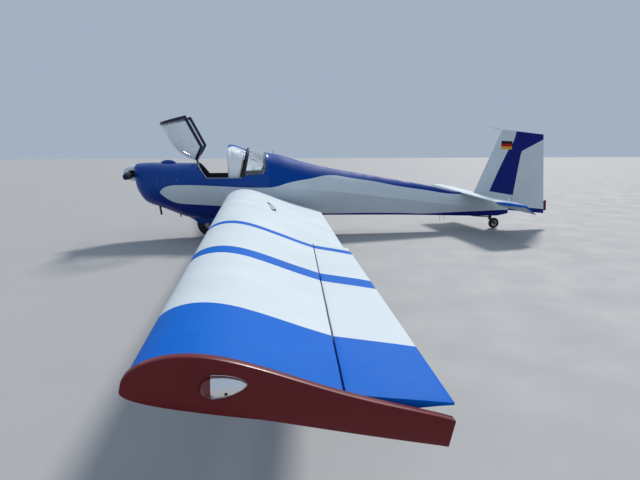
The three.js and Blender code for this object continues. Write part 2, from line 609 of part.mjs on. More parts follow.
const rudderTrailY = (z) => 7393 + (1727 - z) * 0.105;
const rudderLowZ = (y) => 338 - (y - 6840) * 0.105;
const rudderHighZ = (y) => 1767 - (y - 7012) * 0.105;
function rudderRing(t) {
  const r = lerp(RUDDER_NOSE.low, RUDDER_NOSE.high, t);
  const axisZ = lerp(338, 1767, t);
  const axisY = rudderAxisY(axisZ);
  const place = (x, dy) => {
    const y = axisY + dy;
    return v3(x, y, lerp(rudderLowZ(y), rudderHighZ(y), t));
  };
  const chord = rudderTrailY(lerp(rudderLowZ(7550), rudderHighZ(7393), t)) - axisY;
  const arc = range(9).map((i) => {
    const a = (i / 8) * Math.PI;
    return place(r * Math.cos(a), -r * Math.sin(a));
  });
  return [...arc, place(-3, chord), place(3, chord)];
}
piece('rudder', withPins(loft([0, 0.5, 1].map(rudderRing)), rudderHinges), 'white');
const TAB = { z0: 318, z1: 512, aft: 7594 };
piece('rudder_tab', sideSlab([
  [rudderTrailY(TAB.z0) + SEAM, TAB.z0], [TAB.aft, TAB.z0], [TAB.aft - 16, TAB.z1],
  [rudderTrailY(TAB.z1) + SEAM, TAB.z1],
], -2.5, 2.5), 'red');
piece('pitot_tube', cut(rod(v3(0, 6384, 1847), v3(0, 6586, 1799.5), 9, 10), finForm(SEAM)), 'white');

// Tail wheel
const TAIL = { y: 6544, radius: 100, half: 28, crown: 30, pivotY: 6462 };
function tyre(w, bead) {
  const crownSteps = 4;
  const reach = Math.asin(Math.min(0.98, w.half * 0.85 / w.crown));
  const crown = range(crownSteps + 1).map((i) => {
    const a = lerp(-reach, reach, i / crownSteps);
    return [w.radius - w.crown + w.crown * Math.cos(a), w.crown * Math.sin(a)];
  });
  const outline = [
    ...crown,
    [lerp(bead, w.radius, 0.55), w.half],
    [bead, w.half * 0.7],
    [bead, -w.half * 0.7],
    [lerp(bead, w.radius, 0.55), -w.half],
  ];
  return [...outline, outline[0]];
}
function rim(w, bead, bore) {
  const outline = [
    [bore, -w.half * 0.62], [bead * 0.45, -w.half * 0.62], [bead * 0.55, -w.half * 0.3],
    [bead * 0.85, -w.half * 0.3], [bead - SEAM, -w.half * 0.66],
    [bead - SEAM, w.half * 0.66], [bead * 0.85, w.half * 0.3],
    [bead * 0.55, w.half * 0.3], [bead * 0.45, w.half * 0.62], [bore, w.half * 0.62],
  ];
  return [...outline, outline[0]];
}
// Height of an axle over the leaning ground for a wheel at x.
function axleZ(x, w) {
  return w.radius - w.crown + (w.crown + x * Math.sin(LEAN)) / Math.cos(LEAN);
}
function wheel(name, w, x, y, bead, bore, segments) {
  const z = axleZ(x, w);
  piece(`${name}_tyre`, turned(tyre(w, bead), segments).translate(x, y, z), 'tyre');
  piece(`${name}_rim`, turned(rim(w, bead, bore), segments).translate(x, y, z), 'steel');
  return z;
}
const tailZ = wheel('tail', TAIL, 0, TAIL.y, 52, 8.4, 24);
const steerHead = (z0, z1, r) => rod(v3(0, TAIL.pivotY, z0), v3(0, TAIL.pivotY, z1), r, 20);
const leaf = strip([
  v3(0, 6030, 262), v3(0, 6130, 246), v3(0, 6280, 232), v3(0, TAIL.pivotY - 20, 221),
], 60, 12, 10);
piece('tail_spring', cut(seated(join(leaf, steerHead(204, 236, 32)), 5900, 6560), steerHead(190, 250, 21)), 'darkMetal');
piece('tail_fork', join(
  steerHead(196, 240, 20),
  box(-42, 42, TAIL.pivotY - 24, TAIL.pivotY + 24, 188, 198),
  ...[-1, 1].map((s) => sideSlab([
    [TAIL.pivotY - 24, 195], [TAIL.pivotY + 24, 195], [TAIL.y + 16, tailZ + 12], [TAIL.y + 16, tailZ - 16],
    [TAIL.y - 16, tailZ - 16],
  ], s * 38 - 4, s * 38 + 4)),
  rod(v3(-42, TAIL.y, tailZ), v3(42, TAIL.y, tailZ), 8, 12),
), 'darkMetal');

// Main wheel with its fork inside a fairing
const mainZ = wheel('main', MAIN, 0, MAIN.y, 108, 13.4, 36);
piece('main_fork', join(
  rod(v3(-100, MAIN.y, mainZ), v3(100, MAIN.y, mainZ), 13, 16),
  ...[-1, 1].map((s) => box(s * 92 - 6, s * 92 + 6, MAIN.y - 28, MAIN.y + 28, mainZ - 30, 440)),
  ...[-1, 1].map((s) => box(Math.min(s * 90, s * (WELL_HALF - SEAM)), Math.max(s * 90, s * (WELL_HALF - SEAM)),
    MAIN.y - 28, MAIN.y + 28, 385, 440)),
), 'darkMetal');
const fairingOutline = [[1010, 362], [1090, 318], [1150, 268], [1180, 246], [1560, 246], [1700, 290], [1860, 344]];
const fairing = cut(
  sideSlab([...fairingOutline, [1860, 420], [1010, 420]], -125, 125),
  sideSlab([[1100, 200], [1100, 450], [1640, 450], [1640, 200]], -106, 106),
  hull(900, 2000, -SEAM),
);
piece('wheel_fairing', fairing, 'blue');

// Wings
const ROOT_X = 430;
const PLATE = 24; // thickness of a tip plate
const WING_END = SEMI_SPAN - PLATE - SEAM;
const AILERON_START = 5030;
const AILERON_CHORD = 262;
const AILERON_WEDGE = 36;
const AILERON_GAP = 4.6; // wing's upper edge ahead of the hinge line
const leadY = (x) => 1658 - 0.0113 * x;
const leadZ = (x) => 694 + 0.07589 * x;
const trailY = (x) => 3232 - 0.1232 * x;
const trailZ = (x) => 413.5 + 0.0922 * x;
const thickness = (x) => lerp(1.185, 1, x / SEMI_SPAN); // of the section at the root against the tip's
const TRAIL_HALF = 3;
// Heights of the tip's section over and under its chord line, in chords: factors of sqrt(f), f, f^2, f^3, f^4
const UPPER_SKIN = [0.23818, 0.26449, -1.8038, 2.14286, -0.84173];
const LOWER_SKIN = [0.15101, -0.17865, 0.11999, -0.14387, 0.05152];

// Point of the wing skin at chord fraction f, above (side 1) or below (side -1).
function skin(x, f, side, grow = 0) {
  const dy = trailY(x) - leadY(x);
  const dz = trailZ(x) - leadZ(x);
  const chord = Math.hypot(dy, dz);
  const [root, ...powers] = side > 0 ? UPPER_SKIN : LOWER_SKIN;
  const height = powers.reduce((sum, factor, i) => sum + factor * f ** (i + 1), root * Math.sqrt(f));
  const off = side * (height * thickness(x) * chord + TRAIL_HALF * f + grow);
  return v3(x, leadY(x) + dy * f - (dz / chord) * off, leadZ(x) + dz * f + (dy / chord) * off);
}
const SKIN_STEPS = 13;
const fractions = (f0, f1, n) => range(n + 1).map((i) => lerp(f0, f1, i / n));
const noseFractions = (end) => fractions(0, 1, SKIN_STEPS).map((t) => end * (1 - Math.cos(t * Math.PI / 2)));

// Wing section from the nose back to chord fractions `upper` and `lower`.
function wingRing(x, upper = 1, lower = upper) {
  return [
    ...noseFractions(upper).map((f) => skin(x, f, 1)).reverse(),
    ...noseFractions(lower).slice(1).map((f) => skin(x, f, -1)),
  ];
}
const hingeFraction = (x) => 1 - AILERON_CHORD / (trailY(x) - leadY(x));
const shift = (x, mm) => hingeFraction(x) + mm / (trailY(x) - leadY(x));
const aileronAxis = (x) => skin(x, hingeFraction(x), 1).add(v3(0, 0, -5));
function aileronRing(x) {
  return [
    ...fractions(1, shift(x, 2.6), 5).map((f) => skin(x, f, 1)),
    ...fractions(shift(x, 1.5), 1, 5).map((f) => skin(x, f, -1)),
  ];
}
// Airbrake blade that slides up out of a slot in the upper skin
const BRAKE = { x0: 2350, x1: 3250, at: 0.44, depth: 112, travel: 85 };
const brakeMid = skin((BRAKE.x0 + BRAKE.x1) / 2, BRAKE.at, 1);
const brakeTilt = Math.atan((leadZ(BRAKE.x1) - leadZ(BRAKE.x0)) / (BRAKE.x1 - BRAKE.x0));
const brakeSlab = (along, y0, y1, z0, z1) =>
  box(-along, along, y0, y1, z0, z1).rotateY(-brakeTilt).translate(...brakeMid.toArray());
const brakeHalf = (BRAKE.x1 - BRAKE.x0) / 2;

const wingInner = loft([wingRing(ROOT_X), wingRing(AILERON_START - CLEAR)]);
const wingOuter = loft([AILERON_START - CLEAR, WING_END].map((x) => wingRing(x, shift(x, -AILERON_GAP), shift(x, -AILERON_WEDGE))));
const rootSpace = hull(FIREWALL_Y, 4000, -SEAM);
const AILERON_SPAN = [AILERON_START + 3, WING_END - CLEAR - 4];
const aileronLine = AILERON_SPAN.map(aileronAxis);
const aileronHinges = hinges(...aileronLine, [0.04, 0.5, 0.96],
  { pin: 2.4, boss: 5, slot: 14, reach: v3(0, -30, -3) });
const GUIDE = 24; // the slot is narrow over this length at both ends, where it guides the blade
const leftWing = withLugs(cut(join(wingInner, wingOuter), rootSpace,
  brakeSlab(brakeHalf - GUIDE, -11, 11, -BRAKE.depth - 6, 60),
  brakeSlab(brakeHalf + 6, -5 - SEAM, 5 + SEAM, -BRAKE.depth - 6, 60),
  brakeSlab(brakeHalf + 6, -22, 22, -5, 60)), aileronHinges);
pair('wing', (s) => mirrored(leftWing, s), 'white');
const leftBrake = join(
  brakeSlab(brakeHalf, -5, 5, -BRAKE.depth, -3),
  brakeSlab(brakeHalf, -16, 16, -4.6, -0.6),
);
pair('airbrake', (s) => mirrored(leftBrake, s), 'white');

const leftAileron = withPins(loft(AILERON_SPAN.map(aileronRing)), aileronHinges);
for (const [side, s] of [['left', 1], ['right', -1]]) {
  const [inner, outer] = aileronLine;
  const axis = v3().subVectors(outer, inner).normalize();
  const turnedUp = leftAileron.clone().translate(-inner.x, -inner.y, -inner.z)
    .applyQuaternion(new THREE.Quaternion().setFromAxisAngle(axis, s * AILERON_REST))
    .translate(inner.x, inner.y, inner.z);
  piece(`aileron_${side}`, mirrored(turnedUp, s), 'white');
}

// Tip plates stand a little proud of the wing section, and deeper below it towards the back
function plateRing(x) {
  const below = (f) => 9 + 42 * Math.max(0, (f - 0.4) / 0.6) ** 1.2;
  const upper = noseFractions(1).map((f) => skin(WING_END, Math.min(f, 0.995), 1, 9.5));
  const lower = noseFractions(1).map((f) => skin(WING_END, Math.min(f, 0.995), -1, below(f)));
  return [...upper.reverse(), ...lower].map((p) => v3(x, p.y - (p.y < 1700 ? 2 : 0), p.z));
}
const leftPlate = loft([plateRing(WING_END + SEAM), plateRing(SEMI_SPAN)]);
pair('tip_plate', (s) => mirrored(leftPlate, s), 'red');
const lamp = new THREE.SphereGeometry(1, 12, 8).scale(26, 51, 25).translate(SEMI_SPAN, 1775, 1260);
const leftLamp = cut(lamp, box(SEMI_SPAN - 100, SEMI_SPAN + SEAM, 0, 3000, 0, 3000));
pair('tip_light', (s) => mirrored(leftLamp, s), 'steel');

// Outriggers under the wings
const OUTRIGGER = { x: 3100, y: 2080, radius: 62, half: 20, crown: 22 };
const outriggerZ = axleZ(OUTRIGGER.x, OUTRIGGER);
for (const [side, s] of [['left', 1], ['right', -1]]) {
  const x = OUTRIGGER.x;
  const top = skin(x, (OUTRIGGER.y - 60 - leadY(x)) / (trailY(x) - leadY(x)), -1);
  const leg = strip([
    v3(x, OUTRIGGER.y - 60, top.z - 9), v3(x, OUTRIGGER.y - 66, lerp(top.z, outriggerZ, 0.4)),
    v3(x, OUTRIGGER.y - 40, lerp(top.z, outriggerZ, 0.75)), v3(x, OUTRIGGER.y + 4, outriggerZ + 74),
  ], 34, 16, 14);
  const foot = join(
    leg,
    box(x - 34, x + 34, OUTRIGGER.y - 16, OUTRIGGER.y + 16, outriggerZ + 68, outriggerZ + 80),
    ...[-1, 1].map((q) => box(x + q * 30 - 4, x + q * 30 + 4, OUTRIGGER.y - 13, OUTRIGGER.y + 13,
      outriggerZ - 13, outriggerZ + 72)),
    rod(v3(x - 33, OUTRIGGER.y, outriggerZ), v3(x + 33, OUTRIGGER.y, outriggerZ), 6, 12),
    cut(box(x - 45, x + 45, OUTRIGGER.y - 110, OUTRIGGER.y - 10, top.z - 30, top.z + 40), leftWing.clone().translate(0, 0, -0.3)),
  );
  piece(`outrigger_leg_${side}`, mirrored(foot, s), 'black');
  const small = turned([
    ...tyre(OUTRIGGER, 6.4).slice(0, -1), tyre(OUTRIGGER, 6.4)[0],
  ], 20).translate(x, OUTRIGGER.y, outriggerZ);
  piece(`outrigger_wheel_${side}`, mirrored(small, s), 'tyre');
}

// Aerials
piece('deck_aerial', seated(rod(v3(0, 2425, 1340), v3(0, 2440, 1455), 7, 10), 2200, 2700), 'white');
[5470, 5555].forEach((y, i) => {
  const mast = rod(v3(0, y, 320), v3(0, y + 6, 165), 4, 8);
  piece(`belly_aerial_${i ? 'rear' : 'front'}`, seated(mast, 5000, 6000), 'steel');
});

// Centres the part over the ground
airframe.updateMatrixWorld(true);
const bounds = new THREE.Box3().setFromObject(airframe, true);
airframe.position.set(-(bounds.min.x + bounds.max.x) / 2, -(bounds.min.y + bounds.max.y) / 2, -bounds.min.z);
export default root;
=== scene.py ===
"""Looks of a two-seat touring motor glider: painted skins, canopy, cockpit, wheels and a studio.

Tables are millimetres in the airframe's own frame: X to the left wing tip, Y aft from the
spinner's tip and Z up from the ground under the main wheel. The airframe leans on its left
outrigger, so every finished piece is turned by LEAN and shifted into the frame of the model.
"""

import json
import math

import bmesh
import bpy
import numpy as np
from bpy.props import FloatProperty, FloatVectorProperty, IntProperty, PointerProperty
from mathutils import Matrix, Quaternion, Vector

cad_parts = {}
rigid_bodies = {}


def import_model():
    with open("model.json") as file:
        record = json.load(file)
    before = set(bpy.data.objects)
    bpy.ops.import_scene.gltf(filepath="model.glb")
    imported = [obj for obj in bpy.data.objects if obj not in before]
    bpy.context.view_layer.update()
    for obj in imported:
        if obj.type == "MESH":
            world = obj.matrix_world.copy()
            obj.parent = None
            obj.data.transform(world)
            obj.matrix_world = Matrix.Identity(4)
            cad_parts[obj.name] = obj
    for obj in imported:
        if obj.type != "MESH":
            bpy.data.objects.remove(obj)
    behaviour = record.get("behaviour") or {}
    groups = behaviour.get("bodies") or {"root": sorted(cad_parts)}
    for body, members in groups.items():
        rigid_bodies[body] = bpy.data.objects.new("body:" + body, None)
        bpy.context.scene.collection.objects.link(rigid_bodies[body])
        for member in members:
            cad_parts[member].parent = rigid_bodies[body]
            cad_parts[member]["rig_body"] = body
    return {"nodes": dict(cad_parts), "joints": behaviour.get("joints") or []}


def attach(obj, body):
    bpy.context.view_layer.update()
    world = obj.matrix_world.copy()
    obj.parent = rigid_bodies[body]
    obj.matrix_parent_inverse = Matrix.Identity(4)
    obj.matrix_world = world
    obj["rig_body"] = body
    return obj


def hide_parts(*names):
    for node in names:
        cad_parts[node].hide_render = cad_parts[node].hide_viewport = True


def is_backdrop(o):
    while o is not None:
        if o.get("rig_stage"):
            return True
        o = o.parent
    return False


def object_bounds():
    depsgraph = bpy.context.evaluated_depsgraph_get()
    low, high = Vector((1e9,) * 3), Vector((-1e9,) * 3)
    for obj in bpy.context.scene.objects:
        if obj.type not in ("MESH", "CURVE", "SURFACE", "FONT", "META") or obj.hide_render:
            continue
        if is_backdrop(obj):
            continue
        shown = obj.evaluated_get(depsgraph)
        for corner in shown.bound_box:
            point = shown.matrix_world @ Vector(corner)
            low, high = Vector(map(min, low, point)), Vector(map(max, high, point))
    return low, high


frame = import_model()
CAD_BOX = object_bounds()

bl_info = {
    "name": "Touring Motor Glider",
    "version": (1, 0, 0),
    "blender": (4, 5, 0),
    "location": "View3D > Sidebar > Glider",
    "description": "Builds the visible skins, cockpit and wheels of a parked motor glider",
    "category": "Object",
}

MM = 0.001
SEAM = 0.4
CLEAR = 6
LEAN = math.radians(1.84)
CANOPY_OPEN = math.radians(117)
ELEVATOR_DROOP = math.radians(28)
AILERON_REST = math.radians(8)
THRUST_Z = 1080
PROP_Y = 158
COWL_FRONT = 205
COWL_END = 905
SCUTTLE_END = 1150
CABIN_END = 2330
TAIL_END = 6800


def lean_matrix():
    """Airframe metres to the model's frame, fitted to the propeller shaft's joint."""
    turn = Matrix.Rotation(LEAN, 4, "Y")
    spin = next(j for j in frame["joints"] if j["name"] == "propeller_spin")
    hub = Vector((0, PROP_Y, THRUST_Z)) * MM
    return Matrix.Translation(Vector(spin["pos_m"]) - turn @ hub) @ turn


TO_MODEL = lean_matrix()


def lerp(a, b, t):
    return a + (b - a) * t


def steps(a, b, count):
    """Evenly spread numbers from a to b, both included."""
    return [lerp(a, b, i / count) for i in range(count + 1)]


# ---------------------------------------------------------------- fuselage form
# columns: y, top, height of the widest place, half width, bottom, upper power, half width of
# the flat bottom, lower power
STATIONS = np.array([
    [205, 1216, 1082, 168, 946, 2.2, 20, 2.0], [222, 1233, 1070, 232, 835, 2.3, 40, 2.0],
    [255, 1241, 1050, 285, 765, 2.3, 60, 2.0], [300, 1244, 1030, 322, 695, 2.3, 80, 2.0],
    [345, 1247, 1015, 346, 640, 2.3, 90, 2.0], [450, 1250, 990, 390, 583, 2.3, 100, 2.0],
    [560, 1248, 968, 418, 545, 2.3, 110, 2.0], [700, 1244, 945, 442, 488, 2.3, 120, 1.9],
    [905, 1242, 920, 468, 404, 2.3, 137, 1.9], [1000, 1241, 912, 478, 370, 2.3, 150, 1.8],
    [1120, 1240, 905, 488, 352, 2.3, 170, 1.8], [1190, 1250, 900, 492, 348, 2.3, 180, 1.8],
    [1260, 1325, 900, 496, 346, 2.25, 190, 1.8], [1343, 1403, 900, 499, 345, 2.2, 200, 1.8],
    [1486, 1471, 900, 500, 345, 2.2, 210, 1.8], [1648, 1503, 900, 500, 345, 2.2, 220, 1.8],
    [1850, 1510, 898, 500, 345, 2.15, 230, 1.7], [2030, 1488, 893, 495, 346, 2.1, 230, 1.6],
    [2180, 1446, 886, 485, 348, 2.05, 230, 1.5], [2330, 1408, 878, 470, 350, 2.0, 225, 1.4],
    [2550, 1366, 866, 446, 352, 1.9, 215, 1.2], [2720, 1316, 855, 428, 353, 1.8, 208, 1.1],
    [2892, 1265, 836, 410, 354, 1.7, 200, 1.0], [3240, 1178, 797, 374, 354, 1.6, 186, 1.0],
    [3592, 1108, 757, 338, 347, 1.55, 170, 1.0], [4000, 1040, 704, 297, 336, 1.55, 150, 1.0],
    [4686, 917, 610, 232, 316, 1.55, 118, 1.0], [5250, 817, 531, 180, 292, 1.55, 92, 1.0],
    [5778, 703, 466, 132, 268, 1.6, 68, 1.0], [6100, 676, 440, 104, 256, 1.6, 52, 1.0],
    [6560, 630, 420, 62, 244, 1.8, 30, 1.0], [6800, 600, 410, 40, 280, 2.0, 18, 1.0],
])


def slopes_of(table):
    """Slopes of smooth curves through the table's columns that never overshoot a row."""
    y = table[:, 0]
    run = np.diff(y)[:, None]
    rise = np.diff(table, axis=0) / run
    inner = np.zeros_like(table)
    before, after = rise[:-1], rise[1:]
    same = before * after > 0
    w1 = 2 * run[1:] + run[:-1]
    w2 = run[1:] + 2 * run[:-1]
    with np.errstate(divide="ignore", invalid="ignore"):
        mean = (w1 + w2) / (w1 / before + w2 / after)
    inner[1:-1] = np.where(same, mean, 0)
    inner[0], inner[-1] = rise[0], rise[-1]
    return inner


STATION_SLOPES = slopes_of(STATIONS)


def station_at(y):
    i = int(np.clip(np.searchsorted(STATIONS[:, 0], y) - 1, 0, len(STATIONS) - 2))
    run = STATIONS[i + 1, 0] - STATIONS[i, 0]
    t = min(max((y - STATIONS[i, 0]) / run, 0), 1)
    return (
        (1 + 2 * t) * (1 - t) ** 2 * STATIONS[i] + t * (1 - t) ** 2 * run * STATION_SLOPES[i]
        + t * t * (3 - 2 * t) * STATIONS[i + 1] + t * t * (t - 1) * run * STATION_SLOPES[i + 1]
    )


def power(c, p):
    return math.copysign(abs(c) ** (2 / p), c)


def fuselage_ring(y, wall=0.0, upper=56, lower=14, flat=4):
    """One section of the fuselage from the left waist over the top and round below."""
    _, top, waist, half, bottom, upper_power, keel, lower_power = station_at(y)
    w, up, down = half - wall, top - wall - waist, waist - bottom - wall
    keel -= wall * 0.6
    ring = []
    for a in steps(0, math.pi, upper):
        ring.append((w * power(math.cos(a), upper_power), y, waist + up * power(math.sin(a), upper_power)))
    quarter = []
    for a in steps(0, math.pi / 2, lower)[1:]:
        x = keel + (w - keel) * power(math.cos(a), lower_power)
        quarter.append((x, waist - down * power(math.sin(a), lower_power)))
    ring += [(-x, y, z) for x, z in quarter]
    ring += [(x, y, quarter[-1][1]) for x in steps(-keel, keel, flat)[1:-1]]
    ring += [(x, y, z) for x, z in reversed(quarter)]
    return [Vector(p) for p in ring]


CHEEK_CREASE = ((280, 458, 606), (1076, 1020, 939))
CHEEK_SWELL = 11


def smooth_step(value, low, high):
    t = min(max((value - low) / (high - low), 0), 1)
    return t * t * (3 - 2 * t)


# ---------------------------------------------------------------- mesh helpers
def loft(rings, caps=(True, True), closed=True, bm=None):
    """Quads between rings of equal point count, with optional flat caps at the two ends."""
    bm = bm or bmesh.new()
    made = [[bm.verts.new(p) for p in ring] for ring in rings]
    n = len(rings[0])
    for a, b in zip(made, made[1:]):
        for i in range(n if closed else n - 1):
            j = (i + 1) % n
            bm.faces.new((a[i], b[i], b[j], a[j]))
    if caps[0]:
        bm.faces.new(made[0])
    if caps[1]:
        bm.faces.new(reversed(made[-1]))
    return bm


def outward(bm):
    bmesh.ops.remove_doubles(bm, verts=bm.verts, dist=0.02)
    bmesh.ops.dissolve_degenerate(bm, edges=bm.edges, dist=0.01)
    bmesh.ops.recalc_face_normals(bm, faces=bm.faces)
    return bm


def mirrored(bm):
    """The same body on the other side of the aeroplane's centre plane."""
    for v in bm.verts:
        v.co.x = -v.co.x
    bmesh.ops.reverse_faces(bm, faces=bm.faces)
    return bm


def cut_planes(bm, planes, keep_inside):
    """Cuts along each plane, then drops the faces inside or outside all of them."""
    for point, normal in planes:
        geometry = bm.verts[:] + bm.edges[:] + bm.faces[:]
        bmesh.ops.bisect_plane(bm, geom=geometry, dist=1e-3, plane_co=point, plane_no=normal)
    dropped = []
    for face in bm.faces:
        centre = face.calc_center_median()
        inside = all((centre - p).dot(n) < 0 for p, n in planes)
        if inside != keep_inside:
            dropped.append(face)
    bmesh.ops.delete(bm, geom=dropped, context="FACES")
    return bm


def outline_planes(outline):
    """Planes square to the side view through the edges of a convex [y, z] outline."""
    pairs = list(zip(outline, outline[1:] + outline[:1]))
    turn = math.copysign(1, sum(a[0] * b[1] - b[0] * a[1] for a, b in pairs))
    return [
        (Vector((0, a[0], a[1])), Vector((0, b[1] - a[1], a[0] - b[0])).normalized() * turn)
        for a, b in pairs
    ]


def box_planes(x0, x1, y0, y1, z0, z1):
    low, high = Vector((x0, y0, z0)), Vector((x1, y1, z1))
    axes = [Vector((1, 0, 0)), Vector((0, 1, 0)), Vector((0, 0, 1))]
    return [(low, -a) for a in axes] + [(high, a) for a in axes]


def inset(outline, d):
    """Moves each edge of a convex side-view outline inwards by d."""
    planes = outline_planes(outline)
    moved = []
    for (p, n), (q, m) in zip(planes[-1:] + planes[:-1], planes):
        a = (p - n * d).dot(n)
        b = (q - m * d).dot(m)
        det = n.y * m.z - n.z * m.y
        moved.append(((a * m.z - b * n.z) / det, (n.y * b - m.y * a) / det))
    return moved


def add_box(bm, x0, x1, y0, y1, z0, z1):
    corners = [(x, y, z) for z in (z0, z1) for x, y in ((x0, y0), (x1, y0), (x1, y1), (x0, y1))]
    v = [bm.verts.new(c) for c in corners]
    for ids in ((3, 2, 1, 0), (4, 5, 6, 7), (0, 1, 5, 4), (1, 2, 6, 5), (2, 3, 7, 6), (3, 0, 4, 7)):
        bm.faces.new([v[i] for i in ids])
    return bm


def add_rod(bm, start, end, radius, sides=20, end_radius=None):
    """A round bar between two points, tapered if it is given a second radius."""
    start, end = Vector(start), Vector(end)
    along = (end - start).normalized()
    across = along.orthogonal().normalized()
    rings = []
    for centre, r in ((start, radius), (end, radius if end_radius is None else end_radius)):
        turns = [Quaternion(along, 2 * math.pi * i / sides) for i in range(sides)]
        rings.append([centre + (q @ across) * r for q in turns])
    return loft(rings, bm=bm)


def add_tube(bm, path, radius, sides=12):
    """A round bar that follows a row of points."""
    points = [Vector(p) for p in path]
    rings = []
    side = (points[1] - points[0]).orthogonal().normalized()
    for i, p in enumerate(points):
        along = (points[min(i + 1, len(points) - 1)] - points[max(i - 1, 0)]).normalized()
        side = (side - along * side.dot(along)).normalized()
        rings.append([p + (Quaternion(along, 2 * math.pi * k / sides) @ side) * radius for k in range(sides)])
    return loft(rings, bm=bm)


def add_lathe(bm, profile, centre, axis="X", segments=64):
    """A body turned about an axis through centre from a closed list of [radius, along]."""
    centre = Vector(centre)
    rings = []
    for i in range(segments):
        a = 2 * math.pi * i / segments
        c, s = math.cos(a), math.sin(a)
        place = {"X": lambda r, h: (h, r * c, r * s), "Y": lambda r, h: (r * s, h, r * c)}[axis]
        rings.append([centre + Vector(place(r, h)) for r, h in profile])
    return loft(rings + rings[:1], caps=(False, False), bm=bm)


def join(bm, part):
    """Adds a part's faces to bm and frees the part."""
    mesh = bpy.data.meshes.new("part")
    part.to_mesh(mesh)
    bm.from_mesh(mesh)
    part.free()
    bpy.data.meshes.remove(mesh)


def linked(name, bm):
    """A new object in the scene with the mesh, which is freed."""
    mesh = bpy.data.meshes.new(name)
    bm.to_mesh(mesh)
    bm.free()
    obj = bpy.data.objects.new(name, mesh)
    bpy.context.scene.collection.objects.link(obj)
    return obj


def new_object(name, bm, place=None):
    """A mesh object in the model's frame from a mesh in airframe millimetres."""
    bm.transform(TO_MODEL @ Matrix.Scale(MM, 4) @ (place or Matrix.Identity(4)))
    return linked(name, bm)


def node_copy(node):
    """A merged working copy of a CAD node's mesh."""
    bm = bmesh.new()
    bm.from_mesh(frame["nodes"][node].data)
    bmesh.ops.remove_doubles(bm, verts=bm.verts, dist=2e-5)
    return bm


def drop_custom_normals(obj):
    custom = obj.data.attributes.get("custom_normal")
    if custom:
        obj.data.attributes.remove(custom)


def flatten(obj):
    """Turns the modifiers' result into the object's own mesh."""
    result = bpy.data.meshes.new_from_object(obj.evaluated_get(bpy.context.evaluated_depsgraph_get()))
    obj.modifiers.clear()
    obj.data = result


def thicken(obj, wall, edge=1.2, finishes=()):
    """Gives an open skin its wall on the inside, with softened edges and, if given, a rim finish."""
    for material in finishes:
        obj.data.materials.append(material)
    solid = obj.modifiers.new("Wall", "SOLIDIFY")
    solid.material_offset_rim = 1 if finishes else 0
    solid.thickness = wall * MM
    solid.offset = -1
    solid.use_even_offset = True
    if edge:
        soften(obj, edge)
    flatten(obj)


def soften(obj, width, angle=50):
    bevel = obj.modifiers.new("Edges", "BEVEL")
    bevel.width = width * MM
    bevel.segments = 2
    bevel.limit_method = "ANGLE"
    bevel.angle_limit = math.radians(angle)
    bevel.harden_normals = False


def rounded(obj, width, angle=50):
    """Softens the edges and applies the result."""
    soften(obj, width, angle)
    flatten(obj)


def shade(obj, angle=32):
    obj.data.shade_smooth()
    obj.data.set_sharp_from_angle(angle=math.radians(angle))


def finish_piece(obj, body, material, replaces=(), angle=32):
    """Material, shading, ride and the CAD nodes that the piece stands for."""
    if not obj.data.materials:
        obj.data.materials.append(material)
    shade(obj, angle)
    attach(obj, body)
    if replaces:
        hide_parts(*replaces)
    return obj


def simple_piece(name, bm, body, material, replaces=(), angle=32, bevel=0, place=None):
    obj = new_object(name, outward(bm), place)
    if bevel:
        rounded(obj, bevel)
    return finish_piece(obj, body, material, replaces, angle)


def boolean(obj, operation, *tools):
    for tool in tools:
        step = obj.modifiers.new("Cut", "BOOLEAN")
        step.operation = operation
        step.solver = "EXACT"
        step.object = tool
    flatten(obj)
    for tool in tools:
        bpy.data.objects.remove(tool)


def tool_object(build):
    bm = bmesh.new()
    build(bm)
    return new_object("tool", outward(bm))


def dressed(node, material, angle=35, bevel=0):
    """A merged, smoothly shaded copy of a CAD node that stands for it."""
    bm = node_copy(node)
    flat = math.radians(0.5)
    bmesh.ops.dissolve_limit(bm, angle_limit=flat, verts=bm.verts, edges=bm.edges)
    obj = linked(node + "_body", bm)
    drop_custom_normals(obj)
    if bevel:
        rounded(obj, bevel, 40)
    return finish_piece(obj, frame["nodes"][node]["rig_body"], material, (node,), angle)


